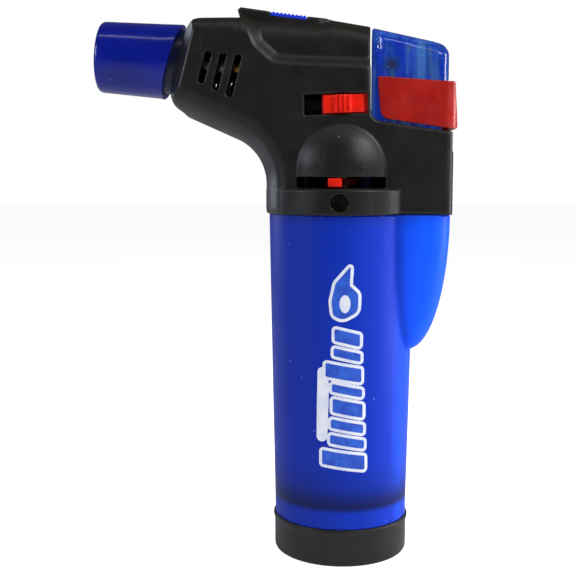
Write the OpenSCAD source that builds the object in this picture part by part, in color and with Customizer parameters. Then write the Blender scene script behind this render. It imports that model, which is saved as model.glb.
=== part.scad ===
// Gun-style butane torch lighter: upright tank, pistol head, tilted flame sleeve.
// X runs from the nozzle (-) to the thumb button (+), Z is up, and the base rests on Z = 0.

/* [Tank and base] */
// Outer radius of the tank at its shoulder
tank_top_r = 18.4; // [18.2:0.1:18.6]
// Outer radius of the tank just above the base cap
tank_foot_r = 16.9; // [16.6:0.1:17.2]
// Height of the shoulder, where the head sits
shoulder_z = 87.1; // [86.5:0.1:87.5]
// Farthest point of the bulge down the back of the tank
bulge_back_x = 26.7; // [26:0.1:26.9]
// Lowest point of the bulge
bulge_foot_z = 53; // [50:0.5:56]
// Wall thickness of the bulge
bulge_wall = 1.6; // [1.2:0.1:2]
// Height of the base cap
cap_h = 9.45; // [8.5:0.05:10]
// Outer radius of the base cap at its lip
cap_lip_r = 17.4; // [17.2:0.1:17.8]
// Radius of the fill hole in the base cap
cap_hole_r = 5.5; // [5.2:0.1:7]

/* [Head shell] */
// Half width of the head across its flat sides
side_y = 12.7; // [12.6:0.05:12.9]
// Thickness of the shell's side walls
shell_wall = 1.25; // [1:0.05:1.3]
// Back of the head
back_x = 27; // [26.9:0.05:27.2]
// Outer radius of the round collar over the tank's shoulder
collar_r = 19.15; // [19:0.05:19.3]
// Top of the collar
collar_top_z = 93.3; // [93:0.1:93.4]
// Inside radius of the bend under the chin
neck_bend_r = 12.2; // [11:0.1:13]
// Slope of the underside of the barrel
chin_slope = 24; // [22:0.5:26]
// Half width of the narrow spine along the top
spine_y = 10.7; // [10.5:0.1:11]
// Radius of the dome over the gas lever
dome_r = 16.6; // [16.4:0.1:16.8]

/* [Nozzle] */
// Tilt of the nozzle axis above level
nozzle_tilt = 4.5; // [3:0.5:6]
// Outer radius of the flame sleeve at its mouth
sleeve_tip_r = 8.85; // [8.6:0.05:9]
// Outer radius of the flame sleeve at the head
sleeve_back_r = 9.35; // [9.1:0.05:9.5]
// Radius of the bore of the flame sleeve
sleeve_bore_r = 7.6; // [7.3:0.1:7.8]
// Distance from the nozzle's reference point to the mouth
sleeve_reach = 16.3; // [15.5:0.1:17]

/* [Controls] */
// Travel of the thumb button
button_travel = 5; // [3:0.5:5]
// Travel of the safety latch into the button
latch_travel = 1.2; // [0.8:0.1:1.2]
// Travel of the flame lock slide
lock_travel = 3.7; // [3:0.1:3.7]
// Width of the gas lever's tab
tab_w = 3.2; // [2.4:0.1:3.4]
// Angle of the gas lever's tab from the side of the head
tab_angle = -4.8; // [-8:0.1:0]

/* [Hidden] */
$fn = 72;
eps = 0.01;
arc_steps = 8;
big = 80;

// Head
shell_y = side_y - shell_wall;
spine_inner_y = spine_y - shell_wall;
bend_z = 94.5;
bend_x = -collar_r - neck_bend_r;
bend_sweep = 90 - chin_slope;
barrel_top_z = 134.8;
button_front_x = 6.9;
notch_z = 107;
inner_back_x = 24.4;
back_corner_r = 2;
vents = [[-32, 126.3, -34.05, 118.95], [-28.4, 125.8, -30.6, 117.3], [-24.75, 125.4, -27.2, 115.65]];
vent_w = 1.5;
screw_spots = [[-33.2, 112.9], [-2, 127.6], [22.2, 95]];
screw_r = 1.2;
screw_head_r = 2.1;
screw_seat_y = 10;
boss_r = 2.7;
plate_y = 7.2;

// Latch
latch_y = 11.2;
latch_band = 0.7;
latch_back_x = 28.15;
latch_inner_x = 26.75;
latch_recess_x = 25.2;
latch_leg_y = 7.3;
latch_low_z = notch_z + 0.4 - button_travel;
lug_x = 18;
lug_z = 114;
lug_r = 1.2;

// Button
button_y = 10.3;
button_inner_y = 9.1;
button_x = 7.25;

// Nozzle reference point, and the slant of the sleeve's back end
nozzle_x = -45;
nozzle_z = 125.26;
sleeve_slant = 16.7;
neck_r = 8;
neck_bore_r = 6.6;
barrel_chamber_r = 8.15;
burner_r = 4.6;
burner_wall = 0.7;
electrode_side = 4;

// Gas valve and its lever
valve_r = 3.2;
stem_r = 1;
lever_x = 6;
lever_z = 100.6;
lever_t = 0.8;
button_foot_z = lever_z + lever_t / 2 + button_travel;
lever_pin_r = 0.8;
post_y = 3.6;
gas_slot_z = [93.6, 96.2];
gas_slot_x = 10.65;

// Ignition unit
piezo_x = 15.5;
piezo_half = 4;
piezo_top_z = 112;
plunger_half = 3.3;

// Fuel filling valve
fill_mouth_r = 2.4;
fill_mouth_z = [3, 6.2];
floor_z = 13.5;

// Screws through the collar
collar_screw_z = 90.1;

// Height at which the dome starts to close
dome_z = 98.3;

hose_route = [[-20.4, 0, 123.36], [-17, 0, 122.6], [-14.6, 0, 119], [-13, 0, 113], [-11.6, 0, 106],
              [-9.8, 0, 100], [-8.6, 0, 98], [-6.5, 0, 97.4]];
wire_route = [[13.2, 4.6, 98], [10.5, 6.6, 98.2], [6, 7.6, 99.5], [0, 7.8, 104], [-6, 7.4, 110],
              [-12, 6.6, 116], [-17, 5.4, 121], [-21, 4.4, 125.2], [-24.6, 4, 127.6]];

function unit(v) = v / norm(v);
function flat(p) = [p[0], p[1]];
function wrapped(a) = a > 180 ? a - 360 : a < -180 ? a + 360 : a;

// One corner [x, z, radius] of an outline, as the points of its arc
function corner(p, before, after) =
  let (
    to_before = unit(flat(before) - flat(p)),
    to_after = unit(flat(after) - flat(p)),
    half = acos(to_before * to_after) / 2,
    centre = flat(p) + unit(to_before + to_after) * p[2] / sin(half),
    start = flat(p) + to_before * p[2] / tan(half) - centre,
    stop = flat(p) + to_after * p[2] / tan(half) - centre,
    first = atan2(start[1], start[0]),
    sweep = wrapped(atan2(stop[1], stop[0]) - first)
  )
  [for (i = [0:arc_steps])
    centre + p[2] * [cos(first + sweep * i / arc_steps), sin(first + sweep * i / arc_steps)]];

// Closed outline through corners [x, z, radius], where radius 0 keeps the corner sharp
function outline(v) =
  let (n = len(v))
  [for (i = [0:n - 1])
    each (v[i][2] == 0 ? [flat(v[i])] : corner(v[i], v[(i + n - 1) % n], v[(i + 1) % n]))];

// Corner where the underside of the barrel would meet the front of the neck
chin_corner_z = bend_z + neck_bend_r * tan(bend_sweep / 2);
chin_x = -42.3;
chin_z = chin_corner_z + (-collar_r - chin_x) * tan(chin_slope);
neck_gap = 5;
shell_side = [
  [-collar_r - neck_gap, shoulder_z, 0],
  [-collar_r - neck_gap, chin_corner_z - neck_gap, 0],
  [chin_x + 3.4, chin_z - neck_gap, 0],
  [chin_x + 3.4, chin_z - 1.9, 0],
  [chin_x + 0.4, chin_z + 0.6, 0],
  [chin_x, chin_z + 4, 0],
  [-41.4, 122, 0],
  [-37, barrel_top_z, 5],
  [-25, barrel_top_z, 0],
  [-25, 133.7, 0],
  [-2, 132.1, 0],
  [-1.8, 134.5, 0],
  [button_front_x, 132.7, 0],
  [button_front_x + 0.2, 110, 3],
  [back_x, notch_z, 0.5],
  [back_x, shoulder_z, 0]
];
spine_cut = [
  [-23.2, 145, 0],
  [-22.8, 131, 4],
  [-18.2, 124.4, 5],
  [button_front_x + 1, 122.8, 0],
  [button_front_x + 1, 145, 0]
];
chamber_low = [
  [-13.2, shoulder_z - 5, 0],
  [-13.2, 102, 4],
  [-19.5, 111, 2],
  [-19.5, 121.3, 2],
  [inner_back_x, 121.3, 0],
  [inner_back_x, shoulder_z - 5, 0]
];
chamber_high = [
  [-20.5, 118, 0],
  [-20.5, 127.4, 3],
  [button_front_x - 1.4, 126.6, 0],
  [button_front_x - 1.4, 118, 0]
];

// Extrudes a side view from y_low to y_high
module side_slab(y_low, y_high) {
  translate([0, y_high, 0]) rotate([90, 0, 0]) linear_extrude(y_high - y_low) children();
}

// A pin along Y
module cross_pin(x, z, r, y_low, y_high) {
  translate([x, y_high, z]) rotate([90, 0, 0]) cylinder(r = r, h = y_high - y_low);
}

module block(low, high) {
  translate(low) cube(high - low);
}

// Puts its child on the nozzle axis: local Z points out of the mouth and local X points up
module on_nozzle() {
  translate([nozzle_x, 0, nozzle_z]) rotate([0, nozzle_tilt - 90, 0]) children();
}

module tube(outer, inner, low, high) {
  translate([0, 0, low]) difference() {
    cylinder(r = outer, h = high - low);
    translate([0, 0, -eps]) cylinder(r = inner, h = high - low + 2 * eps);
  }
}

module coil(r, wire, low, high, turns) {
  rings = turns - 1;
  for (i = [0:rings])
    translate([0, 0, low + wire + (high - low - 2 * wire) * i / rings])
      rotate_extrude($fn = 36) translate([r, 0]) circle(r = wire, $fn = 16);
}

module slot_2d(x0, z0, x1, z1, w, round_ends = true) {
  across = unit([z0 - z1, x1 - x0]) * w / 2;
  polygon([[x0, z0] + across, [x1, z1] + across, [x1, z1] - across, [x0, z0] - across]);
  if (round_ends) {
    translate([x0, z0]) circle(r = w / 2, $fn = 32);
    translate([x1, z1]) circle(r = w / 2, $fn = 32);
  }
}

// Round bar swept along a route: one closed mesh
function route_along(p, i) = unit(p[min(i + 1, len(p) - 1)] - p[max(i - 1, 0)]);
function route_side(p, i) = unit(cross(route_along(p, i), [0.1, 1, 0.05]));
module sweep_round(route, r, sides) {
  n = len(route);
  points = [for (i = [0:n - 1]) for (k = [0:sides - 1])
    let (u = route_side(route, i), v = cross(route_along(route, i), u), a = 360 * k / sides)
    route[i] + r * (u * cos(a) + v * sin(a))];
  walls = [for (i = [0:n - 2]) for (k = [0:sides - 1]) let (m = (k + 1) % sides)
    [i * sides + m, i * sides + k, (i + 1) * sides + k, (i + 1) * sides + m]];
  start = [[for (k = [0:sides - 1]) k]];
  stop = [[for (k = [sides - 1:-1:0]) (n - 1) * sides + k]];
  polyhedron(points, concat(walls, start, stop));
}

// Rings of the neck: how far round the bend, and how far straight on from there
neck_rings = [[0, shoulder_z - bend_z], for (turn = [0:6]) [bend_sweep * turn / 6, 0], [bend_sweep, 40]];
neck_sides = 48;
neck_bar_r = collar_r - 0.1;
neck_cut_y = side_y + 0.5;

// Neck that rises from the collar, bends forward and runs out as the barrel
module neck_bar() {
  n = len(neck_rings);
  points = [for (ring = neck_rings) for (k = [0:neck_sides - 1])
    let (out = [cos(ring[0]), 0, sin(ring[0])], along = [-sin(ring[0]), 0, cos(ring[0])],
         a = 360 * (k + 0.5) / neck_sides, side = max(-neck_cut_y, min(neck_cut_y, neck_bar_r * sin(a))))
    [bend_x, 0, bend_z] + out * (neck_bend_r + collar_r + neck_bar_r * cos(a)) + along * ring[1] + [0, side, 0]];
  walls = [for (i = [0:n - 2]) for (k = [0:neck_sides - 1]) let (m = (k + 1) % neck_sides)
    [i * neck_sides + m, i * neck_sides + k, (i + 1) * neck_sides + k, (i + 1) * neck_sides + m]];
  start = [[for (k = [0:neck_sides - 1]) k]];
  stop = [[for (k = [neck_sides - 1:-1:0]) (n - 1) * neck_sides + k]];
  polyhedron(points, concat(walls, start, stop));
}

module head_block() {
  translate([-12, 0, shoulder_z - 1]) linear_extrude(60)
    polygon(outline([[0, -neck_cut_y, 0], [back_x + 12, -side_y, back_corner_r], [back_x + 12, side_y, back_corner_r], [0, neck_cut_y, 0]]));
}

module dome(r) {
  translate([0, 0, shoulder_z]) cylinder(r = r, h = dome_z - shoulder_z);
  intersection() {
    translate([0, 0, dome_z]) sphere(r = r);
    translate([0, 0, dome_z - 1]) cylinder(r = r + 1, h = r + 2);
  }
}

// Cuts the corners beside the nozzle face
module muzzle_chamfers() {
  for (s = [-1, 1])
    translate([-38.6, s * side_y, 121]) rotate([0, 15, 0]) rotate([0, 0, s * 56])
      translate([-12, s < 0 ? -12 : 0, -30]) cube([24, 12, 60]);
}

// Rounds the two long top edges of a block of half width y that runs from x0 to x1 at height z
module long_edge_cuts(x0, x1, y, z, drop, r) {
  for (s = [0, 1]) mirror([0, s, 0])
    translate([x0, y - r, z - r]) rotate([0, drop, 0]) rotate([90, 0, 90])
      linear_extrude(x1 - x0) difference() {
        square(r + 3);
        circle(r = r, $fn = 64);
      }
}

module head_outside() {
  difference() {
    union() {
      intersection() {
        side_slab(-side_y, side_y) polygon(outline(shell_side));
        union() {
          head_block();
          neck_bar();
        }
      }
      dome(dome_r);
      translate([0, 0, shoulder_z]) cylinder(r = collar_r, h = collar_top_z - shoulder_z);
    }
    for (s = [0, 1]) mirror([0, s, 0]) side_slab(spine_y, side_y + 5) polygon(outline(spine_cut));
    muzzle_chamfers();
    long_edge_cuts(-46, -23.2, side_y, barrel_top_z, 0, 4);
    long_edge_cuts(-23.5, 8, spine_y, 134.8, 3.6, 6);
    side_slab(-plate_y - 0.05, plate_y + 0.05) polygon([[-24.9, 136], [-24.9, 132.3], [-1.9, 130.7], [-1.9, 136]]);
  }
}

module head_inside() {
  side_slab(-shell_y, shell_y) polygon(outline(chamber_low));
  side_slab(-spine_inner_y, spine_inner_y) polygon(outline(chamber_high));
  block([button_front_x - 1.41, -spine_inner_y, 103], [button_front_x + 3, spine_inner_y, 126.6]);
  block([button_front_x, -shell_y, 103], [inner_back_x, shell_y, 140]);
  block([inner_back_x - eps, -shell_y, notch_z - 0.1], [back_x + 3, shell_y, 140]);
  translate([0, 0, shoulder_z - 5]) cylinder(r = 17.2, h = collar_top_z - 1.2 - shoulder_z + 5);
  dome(dome_r - 1.2);
  on_nozzle() translate([0, 0, -26.5]) cylinder(r = barrel_chamber_r, h = 40);
}

module latch_relief() {
  block([latch_recess_x, -shell_y, latch_low_z], [back_x + 3, shell_y, notch_z + 3]);
  for (s = [0, 1]) mirror([0, s, 0])
    block([inner_back_x - 1, latch_leg_y, latch_low_z], [back_x + 3, shell_y, notch_z + 3]);
}

module collar_screw_holes() {
  for (s = [0, 1]) mirror([0, s, 0]) {
    cross_pin(-0.2, collar_screw_z, screw_r + 0.1, 15, 20);
    cross_pin(-0.2, collar_screw_z, 2.1, 17.9, 20);
  }
}

module head_shell() {
  difference() {
    union() {
      difference() {
        head_outside();
        head_inside();
      }
      for (p = screw_spots) intersection() {
        cross_pin(p[0], p[1], boss_r, -shell_y - 0.5, shell_y + 0.5);
        head_outside();
      }
    }
    for (v = vents) side_slab(-side_y - 1, side_y + 1) slot_2d(v[0], v[1], v[2], v[3], vent_w, false);
    for (p = screw_spots) cross_pin(p[0], p[1], screw_r, -7, side_y + 1);
    for (p = screw_spots) cross_pin(p[0], p[1], screw_head_r + 0.15, screw_seat_y, side_y + 1);
    latch_relief();
    collar_screw_holes();
  }
}

module housing_near() {
  color([0.13, 0.13, 0.12]) difference() {
    intersection() {
      head_shell();
      block([-big, -big, 0], [big, 0, 2 * big]);
    }
    block([-gas_slot_x, -20, gas_slot_z[0]], [gas_slot_x, -11, gas_slot_z[1]]);
    translate([-1.3, 0, 113.7]) rotate([0, -1.7, 0]) block([-3.9 - lock_travel, -20, -2.4], [7.6, -11, 2.4]);
  }
}

module housing_far() {
  color([0.13, 0.13, 0.12]) intersection() {
    head_shell();
    block([-big, 0, 0], [big, big, 2 * big]);
  }
}

module housing_screws() {
  color([0.6, 0.6, 0.62]) for (p = screw_spots) difference() {
    union() {
      cross_pin(p[0], p[1], screw_r - 0.1, -6.5, screw_seat_y + eps);
      cross_pin(p[0], p[1], screw_head_r, screw_seat_y, screw_seat_y + 1.4);
    }
    translate([p[0], screw_seat_y + 1.4, p[1]]) {
      cube([2.6, 1.4, 0.6], center = true);
      cube([0.6, 1.4, 2.6], center = true);
    }
  }
}

module top_plate() {
  plate_side = [[-25.7, 136.95, 0.35], [-24.9, 137.6, 0.35], [-8.6, 135.2, 30], [-1.95, 134.5, 0],
                [-2.05, 130.75, 0], [-24.85, 132.35, 0], [-24.85, 134.85, 0], [-25.2, 135.4, 0]];
  color([0.14, 0.14, 0.12]) difference() {
    side_slab(-plate_y, plate_y) polygon(outline(plate_side));
    side_slab(-plate_y - 1, plate_y + 1) polygon([[-17.7, 135.5], [-17.7, 139], [-8.6, 139], [-8.6, 134.3]]);
  }
}

module top_plate_inlay() {
  color([0.1, 0.25, 0.9]) difference() {
    side_slab(-6.8, 6.8) polygon([[-17.7, 135.5], [-17.7, 136.7], [-8.6, 135.5], [-8.6, 134.3]]);
    for (i = [0:4])
      translate([-16.4 + 1.6 * i, 0, 136.55 - 0.22 * i]) rotate([0, 7.5, 0]) cube([0.5, 14, 0.7], center = true);
  }
}

// Half space behind the slanted back end of the flame sleeve
module behind_sleeve() {
  translate([nozzle_x + 2.45, 0, 125.15]) rotate([0, sleeve_slant, 0])
    block([0, -big / 2, -big / 2], [big / 2, big / 2, big / 2]);
}

module flame_sleeve() {
  color([0.02, 0.1, 0.5]) difference() {
    on_nozzle() rotate_extrude($fn = 120) polygon([
      [neck_r + 0.05, -8], [sleeve_back_r + 0.1, -8], [sleeve_tip_r, sleeve_reach - 0.7],
      [sleeve_tip_r - 0.7, sleeve_reach], [sleeve_bore_r, sleeve_reach], [sleeve_bore_r, 2],
      [neck_r + 0.05, 2]]);
    behind_sleeve();
  }
}

module sleeve_neck() {
  color([0.03, 0.06, 0.25]) on_nozzle() tube(neck_r, neck_bore_r, -11, 1.9);
}

module burner_tube() {
  color("silver") on_nozzle() {
    tube(burner_r, burner_r - burner_wall, -17, 5);
    difference() {
      tube(6.5, burner_r - 0.1, -9, -7.5);
      translate([electrode_side, electrode_side, -10]) cylinder(r = 0.95, h = 4, $fn = 32);
    }
  }
}

module flame_holder() {
  color([0.8, 0.65, 0.3]) on_nozzle() difference() {
    translate([0, 0, 1.5]) cylinder(r = burner_r - burner_wall - 0.02, h = 2.2);
    for (a = [0:60:300]) rotate([0, 0, a]) translate([2.4, 0, 1]) cylinder(r = 0.6, h = 4, $fn = 24);
    translate([0, 0, 1]) cylinder(r = 0.8, h = 4, $fn = 24);
  }
}

module jet_block() {
  color([0.8, 0.65, 0.3]) on_nozzle() difference() {
    union() {
      translate([0, 0, -22]) cylinder(r = 4, h = 4.9);
      translate([0, 0, -17.2]) cylinder(r = 3.8, h = 4);
      translate([0, 0, -24.5]) cylinder(r = 1.3, h = 2.6);
    }
    translate([0, 0, -25]) cylinder(r = 0.5, h = 13, $fn = 24);
  }
}

module electrode() {
  color("silver") on_nozzle() translate([electrode_side, electrode_side, 0]) {
    translate([0, 0, -19.5]) cylinder(r = 0.35, h = 26, $fn = 24);
    translate([0.25, 0.25, 6.3]) rotate([0, 0, 45]) rotate([0, -90, 0]) cylinder(r = 0.35, h = 2.6, $fn = 24);
  }
}

module electrode_insulator() {
  color("white") on_nozzle() translate([electrode_side, electrode_side, 0]) tube(0.85, 0.4, -19, 1.5, $fn = 32);
}

module gas_hose() {
  color([0.75, 0.75, 0.7]) sweep_round(hose_route, 0.95, 8);
}

module ignition_wire() {
  color([0.1, 0.1, 0.1]) sweep_round(wire_route, 0.6, 8);
}

module piezo_body() {
  color([0.12, 0.12, 0.12]) difference() {
    block([piezo_x - piezo_half, -piezo_half, 87.7], [piezo_x + piezo_half, piezo_half, piezo_top_z]);
    block([piezo_x - plunger_half - 0.15, -plunger_half - 0.15, 92],
          [piezo_x + plunger_half + 0.15, plunger_half + 0.15, piezo_top_z + 1]);
  }
}

module piezo_plunger() {
  color([0.85, 0.85, 0.8]) difference() {
    block([piezo_x - plunger_half, -plunger_half, 103], [piezo_x + plunger_half, plunger_half, 119.5]);
    translate([piezo_x, 0, 102]) cylinder(r = 2.6, h = 8);
  }
}

module piezo_spring() {
  color("silver") translate([piezo_x, 0, 0]) coil(2, 0.3, 92.2, 109.8, 12);
}

// Button seen from the side
module button_side() {
  polygon(outline([
    [button_x, 107.5, 0], [button_x, 132.35, 0.6], [22.2, 128.95, 8], [25.9, 127.8, 3.2],
    [25.9, 119.7, 0], [25.3, 119.7, 0], [25.3, 113.3, 0], [24, 113.3, 0], [24, button_foot_z, 0], [9, button_foot_z, 0]]));
}

module thumb_button() {
  color([0.08, 0.25, 0.85]) difference() {
    union() {
      difference() {
        intersection() {
          side_slab(-button_y, button_y) button_side();
          translate([0, 0, 100]) linear_extrude(40) polygon(outline([
            [0, -button_y - 0.5, 0], [25.91, -button_y, 3.4], [25.91, button_y, 3.4], [0, button_y + 0.5, 0]]));
        }
        long_edge_cuts(button_x - 2, 30, button_y, 133.2, 12.2, 5);
        side_slab(-button_inner_y, button_inner_y) polygon(outline([
          [8.6, 90, 0], [8.6, 130.6, 1], [22, 127.5, 6], [24.5, 125.4, 2], [24.5, 120.5, 0], [24, 119, 0],
          [24, 114.6, 0], [22.7, 114.6, 0], [22.7, 90, 0]]));
      }
      translate([22.4, 0, 116]) rotate([0, 90, 0]) cylinder(r = 2.8, h = 2);
      block([piezo_x - 2.6, -2.6, 119.5], [piezo_x + 2.6, 2.6, 128.5]);
      for (x = [11, 20.5]) block([x, -button_inner_y - eps, 121], [x + 1.2, button_inner_y + eps, 127.4]);
      block([8.5, -2, button_foot_z], [10, 2, 128]);
      for (s = [0, 1]) mirror([0, s, 0]) cross_pin(12, 123.3, 2.2, 5, button_inner_y + eps);
    }
    block([4, -12, 90], [8.61, 12, 107.5]);
    for (s = [0, 1]) mirror([0, s, 0])
      side_slab(button_inner_y - 1, button_y + 1)
        slot_2d(lug_x - latch_travel - 0.4, lug_z, lug_x + 0.4, lug_z, 2 * lug_r + 0.6);
    cross_pin(12, 123.3, 1.05, -12, 12);
    translate([12, 0, 123.3]) block([-4, -8.8, -14], [4.8, -5.9, 3]);
    translate([23.2, 0, 116]) rotate([0, 90, 0]) cylinder(r = 2, h = 4);
  }
}

module button_latch() {
  inner_corner = 2.2;
  color([0.75, 0.08, 0.06]) {
    intersection() {
      side_slab(-latch_y - 1, latch_y + 1) polygon(outline([
        [8.6, 120.4, 0.5], [9.5, 110.4, 2.2], [25.6, 107.9, 0], [latch_back_x, 107.9, 0.5],
        [27.35, 119.1, 0.5], [24.2, 119.2, 0]]));
      translate([0, 0, 100]) linear_extrude(30) difference() {
        polygon(outline([[0, -latch_y, 0], [latch_back_x, -latch_y, 3.2], [latch_back_x, latch_y, 3.2],
                         [0, latch_y, 0]]));
        polygon(outline([[-1, latch_band - latch_y, 0], [latch_inner_x, latch_band - latch_y, inner_corner],
                         [latch_inner_x, latch_y - latch_band, inner_corner], [-1, latch_y - latch_band, 0]]));
      }
    }
    for (s = [0, 1]) mirror([0, s, 0]) cross_pin(lug_x, lug_z, lug_r, button_inner_y, latch_y - latch_band + 0.3);
    translate([25.7, 0, 116]) rotate([0, 90, 0]) cylinder(r = 1.2, h = 1.4);
  }
}

module latch_spring() {
  color("silver") translate([23.2, 0, 116]) rotate([0, 90, 0]) coil(1.5, 0.2, 0, 3.3, 5);
}

module interlock_pin() {
  color([0.3, 0.3, 0.32]) cross_pin(12, 123.3, 1, -button_y + 0.1, button_y - 0.1);
}

module interlock_arm() {
  color([0.1, 0.1, 0.1]) difference() {
    union() {
      cross_pin(12, 123.3, 1.9, -8.5, -6.2);
      block([11.2, -8.5, 112], [12.8, -6.2, 123.3]);
      block([10, -8.5, 112], [12.8, -6.2, 113.4]);
    }
    cross_pin(12, 123.3, 1.06, -9, -6);
  }
}

module gas_lever() {
  low = lever_z - lever_t / 2;
  high = lever_z + lever_t / 2;
  color("silver") difference() {
    union() {
      block([-2.2, -2.4, low], [10.4, 2.4, high]);
      cross_pin(lever_x, lever_z, 1.5, -3.3, 3.3);
    }
    block([-3, -stem_r - 0.2, low - 1], [stem_r + 0.4, stem_r + 0.2, high + 1]);
    cross_pin(lever_x, lever_z, lever_pin_r + 0.05, -4, 4);
  }
}

module lever_pin() {
  color("silver") cross_pin(lever_x, lever_z, lever_pin_r, -post_y - 1.3, post_y + 1.3);
}

module valve_body() {
  color([0.8, 0.65, 0.3]) difference() {
    union() {
      translate([0, 0, 80]) cylinder(r = 2.4, h = 5);
      translate([0, 0, 84]) cylinder(r = valve_r, h = 14.8);
      translate([-6.4, 0, 97.4]) rotate([0, 90, 0]) cylinder(r = 0.7, h = 5, $fn = 32);
    }
    translate([0, 0, 79]) cylinder(r = 0.8, h = 4, $fn = 32);
    translate([0, 0, 82]) cylinder(r = 2.2, h = 12);
    translate([0, 0, 90]) cylinder(r = stem_r + 0.05, h = 12);
  }
}

module valve_stem() {
  color("silver") {
    translate([0, 0, 88.2]) cylinder(r = stem_r, h = 14.6);
    translate([0, 0, 87.4]) cylinder(r = 1.7, h = 1);
    translate([0, 0, lever_z + lever_t / 2 + 0.3]) cylinder(r = 2, h = 1);
  }
}

module valve_spring() {
  color("silver") coil(1.8, 0.2, 88.5, 93.9, 6);
}

module valve_seal() {
  color([0.1, 0.1, 0.1]) translate([0, 0, 93.2]) rotate_extrude() translate([valve_r + 0.55, 0]) circle(r = 0.5);
}

module gas_adjuster() {
  low = gas_slot_z[0] + 0.25;
  high = gas_slot_z[1] - 0.25;
  color([0.9, 0.1, 0.05]) difference() {
    union() {
      translate([0, 0, low + 0.2]) cylinder(r = 4.6, h = 1.7);
      rotate([0, 0, tab_angle]) {
        block([-0.9, -15, low + 0.2], [0.9, -3.6, low + 1.9]);
        intersection() {
          block([-tab_w / 2, -18, low], [tab_w / 2, -13.6, high]);
          translate([0, 0, low]) cylinder(r = dome_r + 0.4, h = high - low);
        }
      }
    }
    translate([0, 0, low - 1]) cylinder(r = valve_r + 0.05, h = 5);
  }
}

module lock_slide() {
  color([0.9, 0.1, 0.05]) translate([0.35, 0, 113.75]) rotate([0, -1.7, 0]) {
    block([-4.6, -12.5, -2.15], [5.05, -11, 2.15]);
    block([-6.3, -11.2, -3.4], [6.1, -10.3, 3.4]);
    block([-1.95, -13.1, -2.15], [1.95, -12.3, 2.15]);
    for (i = [0:3]) block([-1.95 + 1.1 * i, -13.6, -2.15], [-1.35 + 1.1 * i, -13, 2.15]);
  }
}

module lock_spring() {
  color("silver") block([-11, -9.9, 112.4], [5.6, -9.6, 114.6]);
}

// One level of the bulge: a rounded tongue from inside the tank to back
module bulge_level(back, half, z) {
  r = min(5, half * 0.6);
  translate([0, 0, z]) linear_extrude(eps) {
    translate([4, -half]) square([back - 4 - r, 2 * half]);
    for (s = [-1, 1]) translate([back - r, s * (half - r)]) circle(r = r, $fn = 32);
  }
}

// Bulge inset by t: its depth follows an ellipse that fades out at the foot
module bulge_form(t) {
  height = shoulder_z - bulge_foot_z;
  levels = 8;
  hull() for (i = [0:levels]) {
    k = sin(90 * (0.08 + 0.92 * i / levels));
    z = bulge_foot_z + height * (1 - sqrt(1 - k * k));
    bulge_level(17.2 + (bulge_back_x - 17.2) * k - t, 6.6 + 6 * k - t, z + (i == 0 ? t : 0));
  }
}

module tank() {
  color([0.08, 0.16, 0.75]) difference() {
    union() {
      rotate_extrude($fn = 120) polygon([
        [0, 2.3], [15.6, 2.3], [15.6, 9.5], [tank_foot_r, 9.5], [17.5, 38], [tank_top_r, 86],
        [tank_top_r, shoulder_z], [17, shoulder_z], [17, 91.6], [0, 91.6]]);
      bulge_form(0);
    }
    rotate_extrude($fn = 120) polygon([
      [0, 2], [14.2, 2], [14.2, floor_z - 0.1], [15.3, floor_z - 0.1], [16.1, 80.6], [14.8, 82],
      [14.8, 83.4], [16, 83.4], [16, 92], [0, 92]]);
    intersection() {
      bulge_form(bulge_wall);
      block([0, -20, 20], [40, 20, 82]);
    }
    block([10, -20, shoulder_z], [40, 20, 95]);
    cross_pin(-0.2, collar_screw_z, screw_r + 0.05, -20, 20);
  }
}

module tank_lid() {
  color([0.05, 0.1, 0.5]) difference() {
    union() {
      translate([0, 0, 83.5]) cylinder(r = 15.9, h = 3.4);
      translate([0, 0, 86]) cylinder(r = 5.4, h = 6.4);
      for (s = [0, 1]) mirror([0, s, 0]) block([lever_x - 1.2, post_y, 86], [lever_x + 1.2, post_y + 1.4, 102]);
    }
    translate([0, 0, 80]) cylinder(r = valve_r + 0.02, h = 14);
    cross_pin(lever_x, lever_z, lever_pin_r + 0.02, -6, 6);
    translate([0, 0, 84.4]) difference() {
      cylinder(r = 17, h = 1.2);
      cylinder(r = 15, h = 1.2);
    }
  }
}

module tank_lid_seal() {
  color([0.1, 0.1, 0.1]) translate([0, 0, 85]) rotate_extrude() translate([15.5, 0]) circle(r = 0.45);
}

module felt_wick() {
  color([0.9, 0.88, 0.8]) translate([0, 0, 66]) cylinder(r = 1.3, h = 13.9);
}

module collar_screws() {
  color([0.15, 0.15, 0.15]) for (s = [0, 1]) mirror([0, s, 0]) difference() {
    union() {
      cross_pin(-0.2, collar_screw_z, screw_r, 15.2, 17.95);
      cross_pin(-0.2, collar_screw_z, 1.9, 17.9, 18.4);
    }
    translate([-0.2, 18.4, collar_screw_z]) {
      cube([2.4, 0.8, 0.5], center = true);
      cube([0.5, 0.8, 2.4], center = true);
    }
  }
}

module tank_floor() {
  color([0.03, 0.08, 0.4]) difference() {
    rotate_extrude($fn = 120) polygon([
      [0, floor_z], [15.25, floor_z], [15.28, 17.4], [13.9, 17.4], [13.7, 15.6], [0, 15.6]]);
    translate([0, 0, 10]) cylinder(r = 3.65, h = 10);
  }
}

module base_cap() {
  lip = cap_lip_r;
  color([0.16, 0.15, 0.13]) rotate_extrude($fn = 120) polygon(outline([
    [cap_hole_r, 0, 0], [lip - 0.35, 0, 1.1], [lip - 0.3, cap_h - 1.4, 0], [lip, cap_h - 0.7, 0],
    [lip, cap_h, 0.2], [15.7, cap_h, 0], [15.7, 2.2, 0], [cap_hole_r, 2.2, 0]]));
}

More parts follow.
